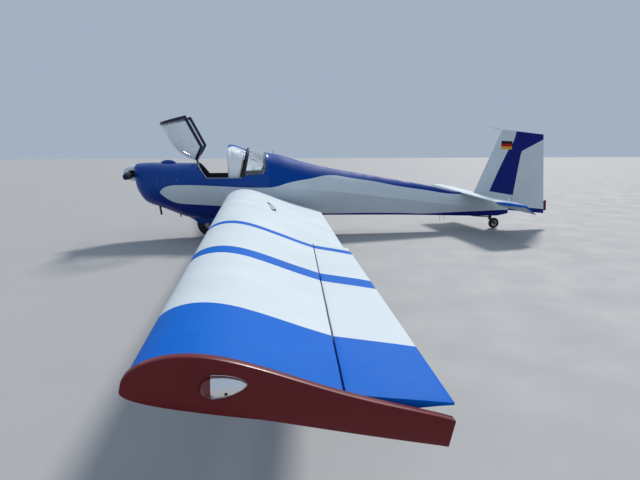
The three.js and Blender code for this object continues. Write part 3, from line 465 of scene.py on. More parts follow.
# ---------------------------------------------------------------- materials
class Recipe:
    """A node material under construction, with short calls for the usual steps."""

    def __init__(self, name, roughness=0.5, metallic=0.0, **fixed):
        self.material = bpy.data.materials.new(name)
        self.material.use_nodes = True
        self.tree = self.material.node_tree
        self.shader = self.tree.nodes["Principled BSDF"]
        self.set(Roughness=roughness, Metallic=metallic)
        for key, value in fixed.items():
            self.shader.inputs[key.replace("_", " ")].default_value = value
        coordinates = self.tree.nodes.new("ShaderNodeTexCoord")
        self.object_point = coordinates.outputs["Object"]

    def add(self, kind, inputs=None, out=0, **settings):
        node = self.tree.nodes.new(kind)
        for key, value in settings.items():
            setattr(node, key, value)
        for key, value in (inputs or {}).items():
            if isinstance(value, bpy.types.NodeSocket):
                self.tree.links.new(value, node.inputs[key])
            else:
                node.inputs[key].default_value = value
        return node.outputs[out]

    def set(self, **inputs):
        for key, value in inputs.items():
            socket = self.shader.inputs[key.replace("_", " ")]
            if isinstance(value, bpy.types.NodeSocket):
                self.tree.links.new(value, socket)
            else:
                socket.default_value = value
        return self

    def math(self, operation, a, b=0.0, c=0.0, clamp=False):
        return self.add("ShaderNodeMath", {0: a, 1: b, 2: c}, operation=operation, use_clamp=clamp)

    def airframe_point(self):
        """X, Y and Z in airframe metres, out of the piece's own coordinates."""
        back = TO_MODEL.inverted()
        moved = self.add("ShaderNodeMapping", {
            "Vector": self.object_point, "Location": back.to_translation(),
            "Rotation": back.to_euler("XYZ"),
        }, vector_type="POINT")
        node = self.tree.nodes.new("ShaderNodeSeparateXYZ")
        self.tree.links.new(moved, node.inputs[0])
        return moved, node.outputs[0], node.outputs[1], node.outputs[2]

    def height_along(self, along, points, low, high, handles="AUTO_CLAMPED"):
        """A boundary's height from points over its length, in metres, 0 to 2."""
        scaled = self.add("ShaderNodeMapRange", {"Value": along, 1: low, 2: high, 3: 0.0, 4: 1.0})
        node = self.tree.nodes.new("ShaderNodeFloatCurve")
        self.tree.links.new(scaled, node.inputs["Value"])
        curve = node.mapping.curves[0]
        places = [((x - low) / (high - low), h / 2) for x, h in points]
        curve.points[0].location, curve.points[-1].location = places[0], places[-1]
        for place in places[1:-1]:
            curve.points.new(*place)
        for point in curve.points:
            point.handle_type = handles
        node.mapping.extend = "HORIZONTAL"
        node.mapping.update()
        return self.math("MULTIPLY", node.outputs[0], 2.0)

    def above(self, a, b, soft=0.0015):
        """1 where a is over b, with an edge a few millimetres soft."""
        difference = self.math("SUBTRACT", a, b)
        return self.math("MULTIPLY_ADD", difference, 1 / soft, 0.5, clamp=True)

    def both(self, *masks):
        result = masks[0]
        for mask in masks[1:]:
            result = self.math("MULTIPLY", result, mask)
        return result

    def mix(self, factor, a, b, blend="MIX"):
        node = self.tree.nodes.new("ShaderNodeMix")
        node.data_type = "RGBA"
        node.blend_type = blend
        for index, value in ((0, factor), (6, a), (7, b)):
            if isinstance(value, bpy.types.NodeSocket):
                self.tree.links.new(value, node.inputs[index])
            elif index == 0:
                node.inputs[0].default_value = value
            else:
                node.inputs[index].default_value = (*value[:3], 1)
        return node.outputs[2]

    def mix_values(self, factor, a, b):
        """a where the factor is 0 and b where it is 1."""
        change = self.math("SUBTRACT", b, a)
        return self.math("MULTIPLY_ADD", change, factor, a)

    def noise(self, scale, detail=3.0, stretch=None, roughness=0.5, point=None):
        vector = point or self.object_point
        if stretch:
            vector = self.add("ShaderNodeMapping", {"Vector": vector, "Scale": stretch})
        return self.add("ShaderNodeTexNoise", {
            "Vector": vector, "Scale": scale, "Detail": detail, "Roughness": roughness,
        })

    def between(self, value, low, high, to_low=0.0, to_high=1.0):
        return self.add("ShaderNodeMapRange", {"Value": value, 1: low, 2: high, 3: to_low, 4: to_high})

    def bump(self, height, distance, strength=1.0, normal=None):
        inputs = {"Height": height, "Distance": distance, "Strength": strength}
        if normal:
            inputs["Normal"] = normal
        return self.add("ShaderNodeBump", inputs)

    def worn(self, colour, amount=0.06, scale=2.5):
        """The colour with faint broad clouding and fine speckle."""
        broad = self.between(self.noise(scale, 5), 0.3, 0.7, 1 - amount, 1 + amount * 0.3)
        fine = self.between(self.noise(scale * 60, 2), 0.2, 0.8, 1 - amount * 0.5, 1 + amount * 0.25)
        return self.mix(1.0, colour, self.math("MULTIPLY", broad, fine), "MULTIPLY")

    def varied_roughness(self, low, high, scale=4.0):
        return self.set(Roughness=self.between(self.noise(scale, 5), 0.3, 0.7, low, high))


def weave_bump(recipe, pitch=0.0016, depth=0.00006, normal=None):
    """Threads of a plain cloth under paint."""
    waves = []
    for direction in ("X", "Y"):
        waves.append(recipe.add("ShaderNodeTexWave", {
            "Vector": recipe.object_point, "Scale": 0.314 / pitch, "Distortion": 0.4,
            "Detail": 1.0, "Detail Scale": 2.0,
        }, out=1, wave_type="BANDS", bands_direction=direction))
    return recipe.bump(recipe.math("ADD", *waves), depth, 0.6, normal)


def shell_relief(recipe):
    """Slight waviness and orange peel of a sprayed laminate."""
    broad = recipe.bump(recipe.noise(5, 2), 0.0012, 0.35)
    return recipe.bump(recipe.noise(420, 2), 0.00004, 0.4, broad)


def cloth_relief(recipe, ribs=None):
    """Painted cloth: broad slack, taped ribs and the weave."""
    slack = recipe.bump(recipe.noise(7, 2), 0.0012, 0.3)
    if ribs is not None:
        slack = recipe.bump(ribs, 0.0006, 0.8, slack)
    return weave_bump(recipe, normal=slack)


FLASH_TOP = [
    (0.60, 0.800), (0.629, 0.836), (0.655, 0.866), (0.70, 0.893), (0.777, 0.916), (0.854, 0.925),
    (1.006, 0.926), (1.237, 0.920), (1.548, 0.903), (1.863, 0.883), (2.311, 0.869),
    (2.432, 0.881), (2.5, 0.899),
]
FLASH_FOOT = [
    (0.60, 0.812), (0.626, 0.789), (0.655, 0.755), (0.69, 0.725), (0.764, 0.676), (0.838, 0.643),
    (0.914, 0.627), (1.068, 0.614), (1.223, 0.604), (1.536, 0.581), (2.0, 0.555), (2.5, 0.50),
]
DECK_LINE = [
    (2.3, 0.869), (2.432, 0.881), (2.68, 0.944), (3.014, 0.994), (3.351, 1.037), (3.436, 1.036),
    (3.572, 1.018), (3.693, 0.995), (4.217, 0.91), (4.574, 0.838), (5.119, 0.752),
    (5.622, 0.672), (5.9, 0.66), (6.1, 0.75), (6.9, 0.75),
]
BELLY_LINE = [
    (2.3, 0.508), (2.7, 0.418), (3.2, 0.386), (4.0, 0.37), (4.7, 0.348), (5.147, 0.326),
    (5.816, 0.339), (6.206, 0.344), (6.601, 0.351), (6.9, 0.348),
]
FIN_STRIPE_FRONT = [
    (0.60, 6.345), (0.702, 6.385), (1.456, 6.714), (1.609, 6.799), (1.787, 6.841), (1.9, 6.86),
]
FIN_STRIPE_REAR = [
    (0.60, 6.870), (1.357, 6.962), (1.429, 6.984), (1.637, 7.403), (1.76, 7.45), (1.9, 7.46),
]


# name and roughness range of each paint
PAINTS = {"blue": ("blue_paint",), "white": ("white_paint",), "red": ("red_plate_paint", (0.3, 0.42))}
# name, colour, roughness range, stretch of the scratches and their depth in metres
METALS = {
    "bright": ("polished_metal", (0.86, 0.87, 0.89), (0.12, 0.24)),
    "alloy": ("cast_alloy", (0.62, 0.63, 0.65), (0.36, 0.5), (1, 1, 1), 0.00012),
    "steel": ("brushed_steel", (0.55, 0.55, 0.57), (0.28, 0.42)),
}
# name, colour, roughness range, fineness of the grain and its depth in metres
COATINGS = {
    "dark_metal": ("dark_coated_metal", (0.025, 0.026, 0.03), (0.35, 0.55)),
    "frame": ("canopy_frame_paint", (0.012, 0.02, 0.055), (0.3, 0.45)),
    "lacquer": ("black_lacquer", (0.012, 0.012, 0.014), (0.2, 0.38), 160),
    "lining": ("dark_side_lining", (0.02, 0.021, 0.024), (0.75, 0.92), 500, 0.0003),
    "dial": ("dial_face", (0.01, 0.01, 0.012), (0.3, 0.4), 60),
}


class Finishes:
    """The part's materials, each made once when it is first asked for."""

    def __init__(self, paint):
        self.paint = paint
        self.made = {}

    def __getattr__(self, name):
        if name not in self.made:
            if name in PAINTS:
                finish, *rest = PAINTS[name]
                self.made[name] = self.plain_paint(finish, getattr(self.paint, name), *rest)
            elif name in METALS:
                self.made[name] = self.metal(*METALS[name])
            elif name in COATINGS:
                self.made[name] = self.coated(*COATINGS[name])
            else:
                self.made[name] = getattr(type(self), "make_" + name)(self)
        return self.made[name]

    def body_paint(self, name, relief, colour, roughness=(0.22, 0.34), coat=0.4, specular=0.5):
        recipe = Recipe(name, Coat_Weight=coat, Coat_Roughness=0.08, Specular_IOR_Level=specular)
        recipe.set(Base_Color=recipe.worn(colour(recipe)), Normal=relief(recipe))
        return recipe.varied_roughness(*roughness).material

    def fuselage_colour(self, recipe):
        """Blue with the white side flash, white rear sides, a navy belly line and navy painted shade low on
        the forward fuselage.
        """
        _, _, y, z = recipe.airframe_point()
        rear = recipe.above(y, 2.4, 0.002)
        top = recipe.mix_values(rear, recipe.height_along(y, FLASH_TOP, 0.60, 2.5),
                                recipe.height_along(y, DECK_LINE, 2.3, 6.9))
        foot = recipe.mix_values(rear, recipe.height_along(y, FLASH_FOOT, 0.60, 2.5),
                                 recipe.height_along(y, BELLY_LINE, 2.3, 6.9))
        white = recipe.both(recipe.above(top, z), recipe.above(z, foot), recipe.above(y, 0.612, 0.004))
        below = recipe.both(recipe.above(foot, z), recipe.above(y, 2.4, 0.002))
        # painted shade: below the side's middle the blue turns towards navy, where the nose and forward belly
        # lie in shade
        shaded = recipe.between(z, 0.86, 0.66, 0.0, 0.8)
        forward = recipe.mix(shaded, self.paint.blue, self.paint.navy)
        ground = recipe.mix(below, forward, self.paint.navy)
        return recipe.mix(white, ground, self.paint.white)

    def make_shell(self):
        return self.body_paint("fuselage_shell_paint", shell_relief, self.fuselage_colour,
                               (0.22, 0.34), 0.1, 0.2)

    def make_deck(self):
        return self.body_paint("fuselage_cloth_paint", cloth_relief, self.fuselage_colour,
                               (0.5, 0.64), 0.0, 0.1)

    def wing_colour(self, recipe):
        """White with a narrow and a wide blue band and a blue tip panel."""
        _, x, y, _ = recipe.airframe_point()
        out = recipe.math("ABSOLUTE", x)
        aft = recipe.math("MAXIMUM", recipe.math("SUBTRACT", y, BAND_BEND), 0.0)
        marks = []
        for at, width, sweep in WING_BANDS:
            start = recipe.math("MULTIPLY_ADD", aft, sweep, at)
            stop = recipe.math("ADD", start, width)
            marks.append(recipe.both(recipe.above(out, start), recipe.above(stop, out)))
        blue = recipe.math("MAXIMUM", recipe.math("MAXIMUM", marks[0], marks[1]), marks[2])
        return recipe.mix(blue, self.paint.white, self.paint.bright_blue)

    def make_wing_cloth(self):
        def relief(recipe):
            _, x, _, _ = recipe.airframe_point()
            cell = recipe.math("PINGPONG", recipe.math("ABSOLUTE", x), RIB_PITCH * MM / 2)
            tape = recipe.above(0.018, cell, 0.003)
            return cloth_relief(recipe, tape)
        return self.body_paint("wing_cloth_paint", relief, self.wing_colour, (0.5, 0.62), 0.0, 0.06)

    def tail_colour(self, recipe):
        """White with the slanting navy band, the three small stripes and the navy foot."""
        _, _, y, z = recipe.airframe_point()
        front = recipe.height_along(z, [(h, y - 6) for h, y in FIN_STRIPE_FRONT], 0.60, 1.9)
        back = recipe.height_along(z, [(h, y - 6) for h, y in FIN_STRIPE_REAR], 0.60, 1.9, "VECTOR")
        along = recipe.math("SUBTRACT", y, 6.0)
        low_edge = recipe.math("MULTIPLY_ADD", along, -0.168, 0.767)
        band = recipe.both(recipe.above(along, front), recipe.above(back, along), recipe.above(z, low_edge))
        foot_line = recipe.math("MULTIPLY_ADD", along, -0.105, 0.505)
        foot = recipe.above(foot_line, z)
        colour = recipe.mix(recipe.math("MAXIMUM", band, foot), self.paint.white, self.paint.navy)
        level = recipe.math("ADD", z, recipe.math("MULTIPLY", along, 0.03))
        in_flag = recipe.both(recipe.above(along, 0.563), recipe.above(0.775, along))
        for low, high, name in (
            (1.579, 1.629, "flag_black"), (1.53, 1.58, "flag_red"), (1.482, 1.531, "flag_gold"),
        ):
            stripe = recipe.both(in_flag, recipe.above(level, low), recipe.above(high, level))
            colour = recipe.mix(stripe, colour, getattr(self.paint, name))
        return colour

    def make_fin_cloth(self):
        def relief(recipe):
            _, _, _, z = recipe.airframe_point()
            tape = recipe.above(0.014, recipe.math("PINGPONG", z, 0.115), 0.003)
            return cloth_relief(recipe, tape)
        return self.body_paint("fin_cloth_paint", relief, self.tail_colour, (0.45, 0.6), 0.0, 0.15)

    def make_tailplane_cloth(self):
        def colour(recipe):
            _, x, _, _ = recipe.airframe_point()
            tip = recipe.above(recipe.math("ABSOLUTE", x), 1.335)
            return recipe.mix(tip, self.paint.white, self.paint.bright_blue)

        def relief(recipe):
            _, x, _, _ = recipe.airframe_point()
            tape = recipe.above(0.014, recipe.math("PINGPONG", x, 0.11), 0.003)
            return cloth_relief(recipe, tape)
        return self.body_paint("tailplane_cloth_paint", relief, colour, (0.5, 0.62), 0.0, 0.08)

    def plain_paint(self, name, colour, roughness=(0.25, 0.4), coat=0.15, amount=0.08, specular=0.3):
        recipe = Recipe(name, Coat_Weight=coat, Coat_Roughness=0.1, Specular_IOR_Level=specular)
        recipe.set(Base_Color=recipe.worn((*colour, 1), amount), Normal=shell_relief(recipe))
        return recipe.varied_roughness(*roughness).material

    def metal(self, name, colour, roughness, scratch=(1, 60, 1), depth=0.00003):
        recipe = Recipe(name, metallic=1.0)
        lines = recipe.noise(90, 4, scratch)
        recipe.set(Base_Color=recipe.worn((*colour, 1), 0.12, 9), Normal=recipe.bump(lines, depth, 0.5))
        return recipe.varied_roughness(*roughness, 14).material

    def coated(self, name, colour, roughness, grain=300, depth=0.00006):
        recipe = Recipe(name, Specular_IOR_Level=0.4)
        recipe.set(Base_Color=recipe.worn((*colour, 1), 0.25, 12),
                   Normal=recipe.bump(recipe.noise(grain, 3), depth, 0.6))
        return recipe.varied_roughness(*roughness, 12).material

    def make_rubber(self):
        recipe = Recipe("tyre_rubber", Specular_IOR_Level=0.3)
        dust = recipe.between(recipe.noise(14, 6), 0.45, 0.75)
        recipe.set(Base_Color=recipe.mix(dust, (0.018, 0.018, 0.02), (0.075, 0.07, 0.064)),
                   Normal=recipe.bump(recipe.noise(380, 4), 0.0002, 0.6))
        return recipe.varied_roughness(0.75, 0.95, 10).material

    def make_glass(self):
        recipe = Recipe("clear_canopy_pane", roughness=0.04, Coat_Weight=0.6, Coat_Roughness=0.03)
        # painted reflection: the pale pane grows more opaque towards glancing angles, standing in for the
        # glass's reflection; the streaks are smudges
        rim = recipe.add("ShaderNodeLayerWeight", {"Blend": 0.35}, out=1)
        streak = recipe.between(recipe.noise(26, 5, (1, 0.12, 1)), 0.5, 0.8, 0.0, 0.22)
        painted_reflection_and_smudge = recipe.math("ADD", recipe.between(rim, 0.0, 1.0, 0.10, 0.62), streak, clamp=True)
        recipe.set(Base_Color=recipe.mix(streak, (0.62, 0.70, 0.74), (0.95, 0.97, 1.0)),
                   Alpha=painted_reflection_and_smudge,
                   Normal=recipe.bump(recipe.noise(6, 2), 0.0006, 0.25))
        recipe.varied_roughness(0.03, 0.12, 30)
        return recipe.material

    def make_wood(self):
        recipe = Recipe("varnished_plywood", Coat_Weight=0.2, Coat_Roughness=0.25)
        grain = recipe.noise(34, 6, (1, 0.06, 1), 0.65)
        recipe.set(Base_Color=recipe.mix(recipe.between(grain, 0.35, 0.68), (0.16, 0.085, 0.035),
                                         (0.42, 0.27, 0.13)),
                   Normal=recipe.bump(grain, 0.0002, 0.5))
        return recipe.varied_roughness(0.4, 0.6).material

    def make_upholstery(self):
        recipe = Recipe("white_upholstery", Sheen_Weight=0.15, Coat_Weight=0.1)
        crease = recipe.noise(11, 5, (1, 1, 0.6))
        pore = recipe.add("ShaderNodeTexVoronoi", {"Vector": recipe.object_point, "Scale": 520.0})
        soft = recipe.bump(crease, 0.0022, 0.4)
        soil = recipe.between(recipe.noise(3.5, 6), 0.5, 0.8, 0.0, 0.35)
        recipe.set(Base_Color=recipe.mix(soil, self.paint.upholstery, (0.42, 0.41, 0.39)),
                   Normal=recipe.bump(pore, 0.00025, 0.5, soft))
        return recipe.varied_roughness(0.42, 0.62, 9).material

    def make_webbing(self):
        recipe = Recipe("belt_webbing", Sheen_Weight=0.2)
        recipe.set(Base_Color=recipe.worn((0.6, 0.62, 0.66, 1), 0.2, 20),
                   Normal=weave_bump(recipe, 0.002, 0.0003))
        return recipe.varied_roughness(0.7, 0.85, 20).material

    def make_lamp_red(self):
        recipe = Recipe("red_lamp_lens", Coat_Weight=0.8, Coat_Roughness=0.03)
        ridges = recipe.add("ShaderNodeTexWave", {"Vector": recipe.object_point, "Scale": 60.0},
                            wave_type="BANDS", bands_direction="Z", out=1)
        recipe.set(Base_Color=recipe.worn((0.16, 0.004, 0.006, 1), 0.3, 20),
                   Normal=recipe.bump(ridges, 0.0003, 0.5))
        return recipe.varied_roughness(0.08, 0.16, 20).material

    def make_floor(self):
        recipe = Recipe("studio_floor", roughness=0.8)
        tone = recipe.between(recipe.noise(0.6, 3), 0.3, 0.7, 0.97, 1.0)
        recipe.set(Base_Color=recipe.mix(1.0, (0.42, 0.42, 0.425), tone, "MULTIPLY"),
                   Normal=recipe.bump(recipe.noise(90, 3), 0.0006, 0.2))
        return recipe.varied_roughness(0.72, 0.85, 2).material


# columns, in metres: distance from the centre line, width, and shift outboard for each metre aft of the bend
BAND_BEND = 2.15
WING_BANDS = [(5.055, 0.165, 0.3), (6.165, 0.185, 0.15), (7.187, 0.6, 0.08)]
RIB_PITCH = 310


# ---------------------------------------------------------------- repeated small parts
def repeat_tree():
    """Geometry nodes that set a small solid along a path at an even spacing."""
    tree = bpy.data.node_groups.get("repeat_along_path")
    if tree:
        return tree
    tree = bpy.data.node_groups.new("repeat_along_path", "GeometryNodeTree")
    face = tree.interface
    for name, kind in (("Path", "NodeSocketGeometry"), ("Solid", "NodeSocketObject"),
                       ("Spacing", "NodeSocketFloat"), ("Finish", "NodeSocketMaterial")):
        face.new_socket(name, in_out="INPUT", socket_type=kind)
    face.new_socket("Geometry", in_out="OUTPUT", socket_type="NodeSocketGeometry")
    made = {}
    for key, kind in (
        ("source", "NodeGroupInput"), ("curve", "GeometryNodeMeshToCurve"),
        ("even", "GeometryNodeResampleCurve"), ("solid", "GeometryNodeObjectInfo"),
        ("facing", "GeometryNodeInputNamedAttribute"), ("tangent", "GeometryNodeInputTangent"),
        ("along", "FunctionNodeAlignRotationToVector"), ("up", "FunctionNodeAlignRotationToVector"),
        ("set", "GeometryNodeInstanceOnPoints"), ("real", "GeometryNodeRealizeInstances"),
        ("finish", "GeometryNodeSetMaterial"), ("result", "NodeGroupOutput"),
    ):
        made[key] = tree.nodes.new(kind)
    made["even"].mode = "LENGTH"
    made["facing"].data_type = "FLOAT_VECTOR"
    made["facing"].inputs["Name"].default_value = "facing"
    made["along"].axis = "X"
    made["up"].axis = "Z"
    made["up"].pivot_axis = "X"
    for start, output, end, entry in (
        ("source", "Path", "curve", "Mesh"), ("curve", "Curve", "even", "Curve"),
        ("source", "Spacing", "even", "Length"), ("source", "Solid", "solid", "Object"),
        ("tangent", 0, "along", "Vector"), ("along", 0, "up", "Rotation"),
        ("facing", "Attribute", "up", "Vector"), ("even", "Curve", "set", "Points"),
        ("solid", "Geometry", "set", "Instance"), ("up", 0, "set", "Rotation"),
        ("set", "Instances", "real", "Geometry"), ("real", "Geometry", "finish", "Geometry"),
        ("source", "Finish", "finish", "Material"), ("finish", "Geometry", "result", "Geometry"),
    ):
        tree.links.new(made[start].outputs[output], made[end].inputs[entry])
    return tree


def screw_head(size):
    """A low round head of a few faces standing on the XY plane, in millimetres."""
    rings = []
    for r, h in ((1.0, -0.15), (1.0, 0.1), (0.72, 0.26)):
        turns = [2 * math.pi * i / 8 for i in range(8)]
        rings.append([Vector((math.cos(a) * r, math.sin(a) * r, h)) * size for a in turns])
    bm = loft(rings)
    bmesh.ops.recalc_face_normals(bm, faces=bm.faces)
    bm.transform(Matrix.Scale(MM, 4))
    return linked("screw_head", bm)


def screws_along(name, paths, size, spacing, body, material):
    """One mesh of screw heads along paths, each a list of (point, facing) in airframe mm."""
    turn = TO_MODEL @ Matrix.Scale(MM, 4)
    vertices, edges, facings = [], [], []
    for path in paths:
        start = len(vertices)
        for point, facing in path:
            vertices.append(turn @ Vector(point))
            facings.extend((turn.to_3x3() @ Vector(facing)).normalized())
        edges += [(i, i + 1) for i in range(start, len(vertices) - 1)]
    mesh = bpy.data.meshes.new(name)
    mesh.from_pydata(vertices, edges, [])
    mesh.attributes.new("facing", "FLOAT_VECTOR", "POINT").data.foreach_set("vector", facings)
    obj = bpy.data.objects.new(name, mesh)
    bpy.context.scene.collection.objects.link(obj)
    template = screw_head(size)
    tree = repeat_tree()
    modifier = obj.modifiers.new("Repeat", "NODES")
    modifier.node_group = tree
    sockets = {s.name: s.identifier for s in tree.interface.items_tree if s.in_out == "INPUT"}
    modifier[sockets["Solid"]] = template
    modifier[sockets["Spacing"]] = spacing * MM
    modifier[sockets["Finish"]] = material
    bpy.context.view_layer.update()
    flatten(obj)
    bpy.data.objects.remove(template)
    return finish_piece(obj, body, material, angle=40)


# ---------------------------------------------------------------- wing and tail forms
SEMI_SPAN = 7630
PLATE = 24
WING_END = SEMI_SPAN - PLATE - SEAM
ROOT_X = 430
AILERON_START = 5030
AILERON_CHORD = 262
AILERON_WEDGE = 36
AILERON_GAP = 4.6
TRAIL_HALF = 3
# heights of the tip's section over and under its chord, in chords: factors of sqrt(f), f, f^2, f^3, f^4
UPPER_SKIN = (0.23818, 0.26449, -1.8038, 2.14286, -0.84173)
LOWER_SKIN = (0.15101, -0.17865, 0.11999, -0.14387, 0.05152)


def lead_y(x):
    return 1658 - 0.0113 * x


def lead_z(x):
    return 694 + 0.07589 * x


def trail_y(x):
    return 3232 - 0.1232 * x


def trail_z(x):
    return 413.5 + 0.0922 * x


def rib_sag(x, depth, pitch=RIB_PITCH):
    """How far painted cloth sinks between two ribs, at a distance x from the first."""
    return depth * math.sin(math.pi * ((x / pitch) % 1)) ** 0.8


def round_nose(f):
    """Share of the full thickness at fraction f of a chord with a round leading edge."""
    return math.sqrt(1 - (1 - min(f / 0.4, 1)) ** 2)


def skin(x, f, side, grow=0.0, sag=0.0):
    """Point of the wing's skin at chord fraction f, above (side 1) or below (side -1)."""
    dy, dz = trail_y(x) - lead_y(x), trail_z(x) - lead_z(x)
    chord = math.hypot(dy, dz)
    f = min(max(f, 0.0), 1.0)
    root, *powers = UPPER_SKIN if side > 0 else LOWER_SKIN
    height = root * math.sqrt(f) + sum(factor * f ** (i + 1) for i, factor in enumerate(powers))
    hold = min(f / 0.02, 1) * (0.45 if f < 0.3 else 1.0) * min((1 - f) / 0.05, 1)
    height *= lerp(1.185, 1, x / SEMI_SPAN) * chord
    off = side * (height + TRAIL_HALF * f + grow - rib_sag(x, sag) * hold)
    return Vector((x, lead_y(x) + dy * f - dz / chord * off, lead_z(x) + dz * f + dy / chord * off))


def hinge_fraction(x, mm=0.0):
    return 1 - (AILERON_CHORD - mm) / (trail_y(x) - lead_y(x))


def aileron_axis(x):
    return skin(x, hinge_fraction(x), 1) + Vector((0, 0, -5))


BRAKE = {"x0": 2350, "x1": 3250, "at": 0.44, "depth": 112, "slot": 22}
BRAKE_MID = skin((BRAKE["x0"] + BRAKE["x1"]) / 2, BRAKE["at"], 1)
BRAKE_HALF = (BRAKE["x1"] - BRAKE["x0"]) / 2
BRAKE_TILT = math.atan((lead_z(BRAKE["x1"]) - lead_z(BRAKE["x0"])) / (BRAKE["x1"] - BRAKE["x0"]))
BRAKE_PLACE = Matrix.Translation(BRAKE_MID) @ Matrix.Rotation(-BRAKE_TILT, 4, "Y")


def span_stations(x0, x1):
    """Places along the span, six to a rib bay, with both ends."""
    step = RIB_PITCH / 6
    inside = [k * step for k in range(int(x0 / step) + 1, int(x1 / step) + 1)]
    return [x0] + [x for x in inside if x0 + 8 < x < x1 - 8] + [x1]


def wing_body(sag):
    """The left wing as one closed skin, with the aileron's bay left open behind the spar."""
    split = AILERON_START - CLEAR
    nose = [1 - math.cos(t * math.pi / 2) for t in steps(0, 1, 26)]

    def fore(x, gap, wedge):
        upper = [skin(x, hinge_fraction(x, gap) * t, 1, sag=sag) for t in nose]
        lower = [skin(x, hinge_fraction(x, wedge) * t, -1, sag=sag) for t in nose]
        return upper[::-1] + lower[1:]

    def full(x):
        aft = 9
        over, under = hinge_fraction(x, -AILERON_GAP), hinge_fraction(x, -AILERON_WEDGE)
        upper = [skin(x, lerp(1, over, t), 1, sag=sag) for t in steps(0, 1, aft)]
        lower = [skin(x, lerp(under, 1, t), -1, sag=sag) for t in steps(0, 1, aft)]
        return upper[:-1] + fore(x, -AILERON_GAP, -AILERON_WEDGE) + lower[1:]

    inner = [full(x) for x in span_stations(ROOT_X, split)]
    outer = [fore(x, -AILERON_GAP, -AILERON_WEDGE) for x in span_stations(split, WING_END)]
    bm = loft(inner, caps=(True, False))
    loft(outer, caps=(False, True), bm=bm)
    bay = inner[-1][:10] + inner[-1][-10:]
    bm.faces.new([bm.verts.new(p) for p in bay])
    return outward(bm)


STAB = {"tip": 1376, "lead_y": 5818, "lead_z": 690, "hinge": 516, "thick": 31}
STAB_SLOPE = math.radians(8.7)
STAB_AXIS = Vector((0, STAB["lead_y"] + STAB["hinge"] * math.cos(STAB_SLOPE),
                    STAB["lead_z"] - STAB["hinge"] * math.sin(STAB_SLOPE)))
ELEVATOR_NOSE = 19
ELEVATOR_INNER = 112
TAIL_RIB = 220


def stab_point(x, along, off):
    c, s = math.cos(STAB_SLOPE), math.sin(STAB_SLOPE)
    return Vector((x, STAB["lead_y"] + along * c + off * s, STAB["lead_z"] - along * s + off * c))


def hollow_end(outline, axis, radius):
    """Ends a half outline of [along, half] where a round hollow about the hinge begins."""
    kept = [(a, h) for a, h in outline if a < axis - math.sqrt(max(radius ** 2 - h ** 2, 0)) - 1]
    last = outline[-1][1] if not kept else np.interp(axis - radius, *zip(*outline))
    start = math.asin(min(last / radius, 1))
    arc = [(axis - radius * math.cos(a), radius * math.sin(a)) for a in steps(start, 0, 5)]
    return kept + arc


def stab_ring(x, thin, lead, sag):
    outline = []
    for t in steps(0, 1, 22):
        f = t * t
        half = thin * lerp(STAB["thick"], 22, max(0, (f - 0.4) / 0.6)) * round_nose(f) + 0.2
        half -= rib_sag(x, sag, TAIL_RIB) * min(f / 0.1, 1)
        outline.append((lerp(lead - 0.2, STAB["hinge"], f), half))
    outline = hollow_end(outline, STAB["hinge"], ELEVATOR_NOSE + CLEAR)
    upper = [stab_point(x, a, h) for a, h in outline]
    lower = [stab_point(x, a, -h) for a, h in outline[:-1]]
    return upper + lower[::-1]


def elevator_half(side, sag):
    rings = []
    for t in steps(0, 1, 36):
        x = lerp(ELEVATOR_INNER, STAB["tip"], t)
        chord, r = lerp(285, 222, t), lerp(ELEVATOR_NOSE, ELEVATOR_NOSE - 5, t)
        dip = rib_sag(x, sag, TAIL_RIB)
        half_turn = steps(0.5 * math.pi, 1.5 * math.pi, 14)
        arc = [Vector((side * x, math.cos(a) * r, math.sin(a) * r)) for a in half_turn]
        lower = [Vector((side * x, lerp(0, chord, u), -lerp(r, 2, u) + dip * math.sin(math.pi * u)))
                 for u in steps(0, 1, 8)[1:]]
        upper = [Vector((side * x, p.y, -p.z)) for p in reversed(lower)]
        rings.append(arc + lower + upper)
    return outward(loft(rings))


def rudder_axis_y(z):
    return 6872 + 0.122 * (z - 620)


# half thickness of the rudder at its foot and top
RUDDER_LOW, RUDDER_HIGH = 26, 16
RUDDER_FOOT, RUDDER_TOP = 338, 1767
FIN_FOOT, FIN_TOP = 560, 1812
FIN_RIB = 230
CAP_SLOPE = 0.105


def fin_ring(t, sag):
    z0 = lerp(FIN_FOOT, FIN_TOP, t)
    z_aft = lerp(FIN_FOOT, FIN_TOP - (rudder_axis_y(RUDDER_TOP) - 6574) * CAP_SLOPE, t)
    y0, y1 = 6126 + (z0 - 742) * 0.4187, rudder_axis_y(z_aft) - 3
    thick, aft = lerp(44, 22, t), lerp(RUDDER_LOW, RUDDER_HIGH, t) + 2
    dip = rib_sag(z0, sag, FIN_RIB)
    outline = []
    for u in steps(0, 1, 22):
        f = u ** 1.7
        full = lerp(thick, aft, max(0, (f - 0.4) / 0.6)) * round_nose(f)
        half = max(full - dip * min(f / 0.1, 1), 1)
        outline.append((lerp(y0, y1, f), half))
    space = lerp(RUDDER_LOW + 2, RUDDER_HIGH, t) + CLEAR
    outline = hollow_end(outline, y1 + 3, space)

    def point(y, h):
        return Vector((h, y, lerp(z0, z_aft, (y - y0) / (y1 - y0))))
    return [point(a, h) for a, h in outline] + [point(a, -h) for a, h in reversed(outline[:-1])]


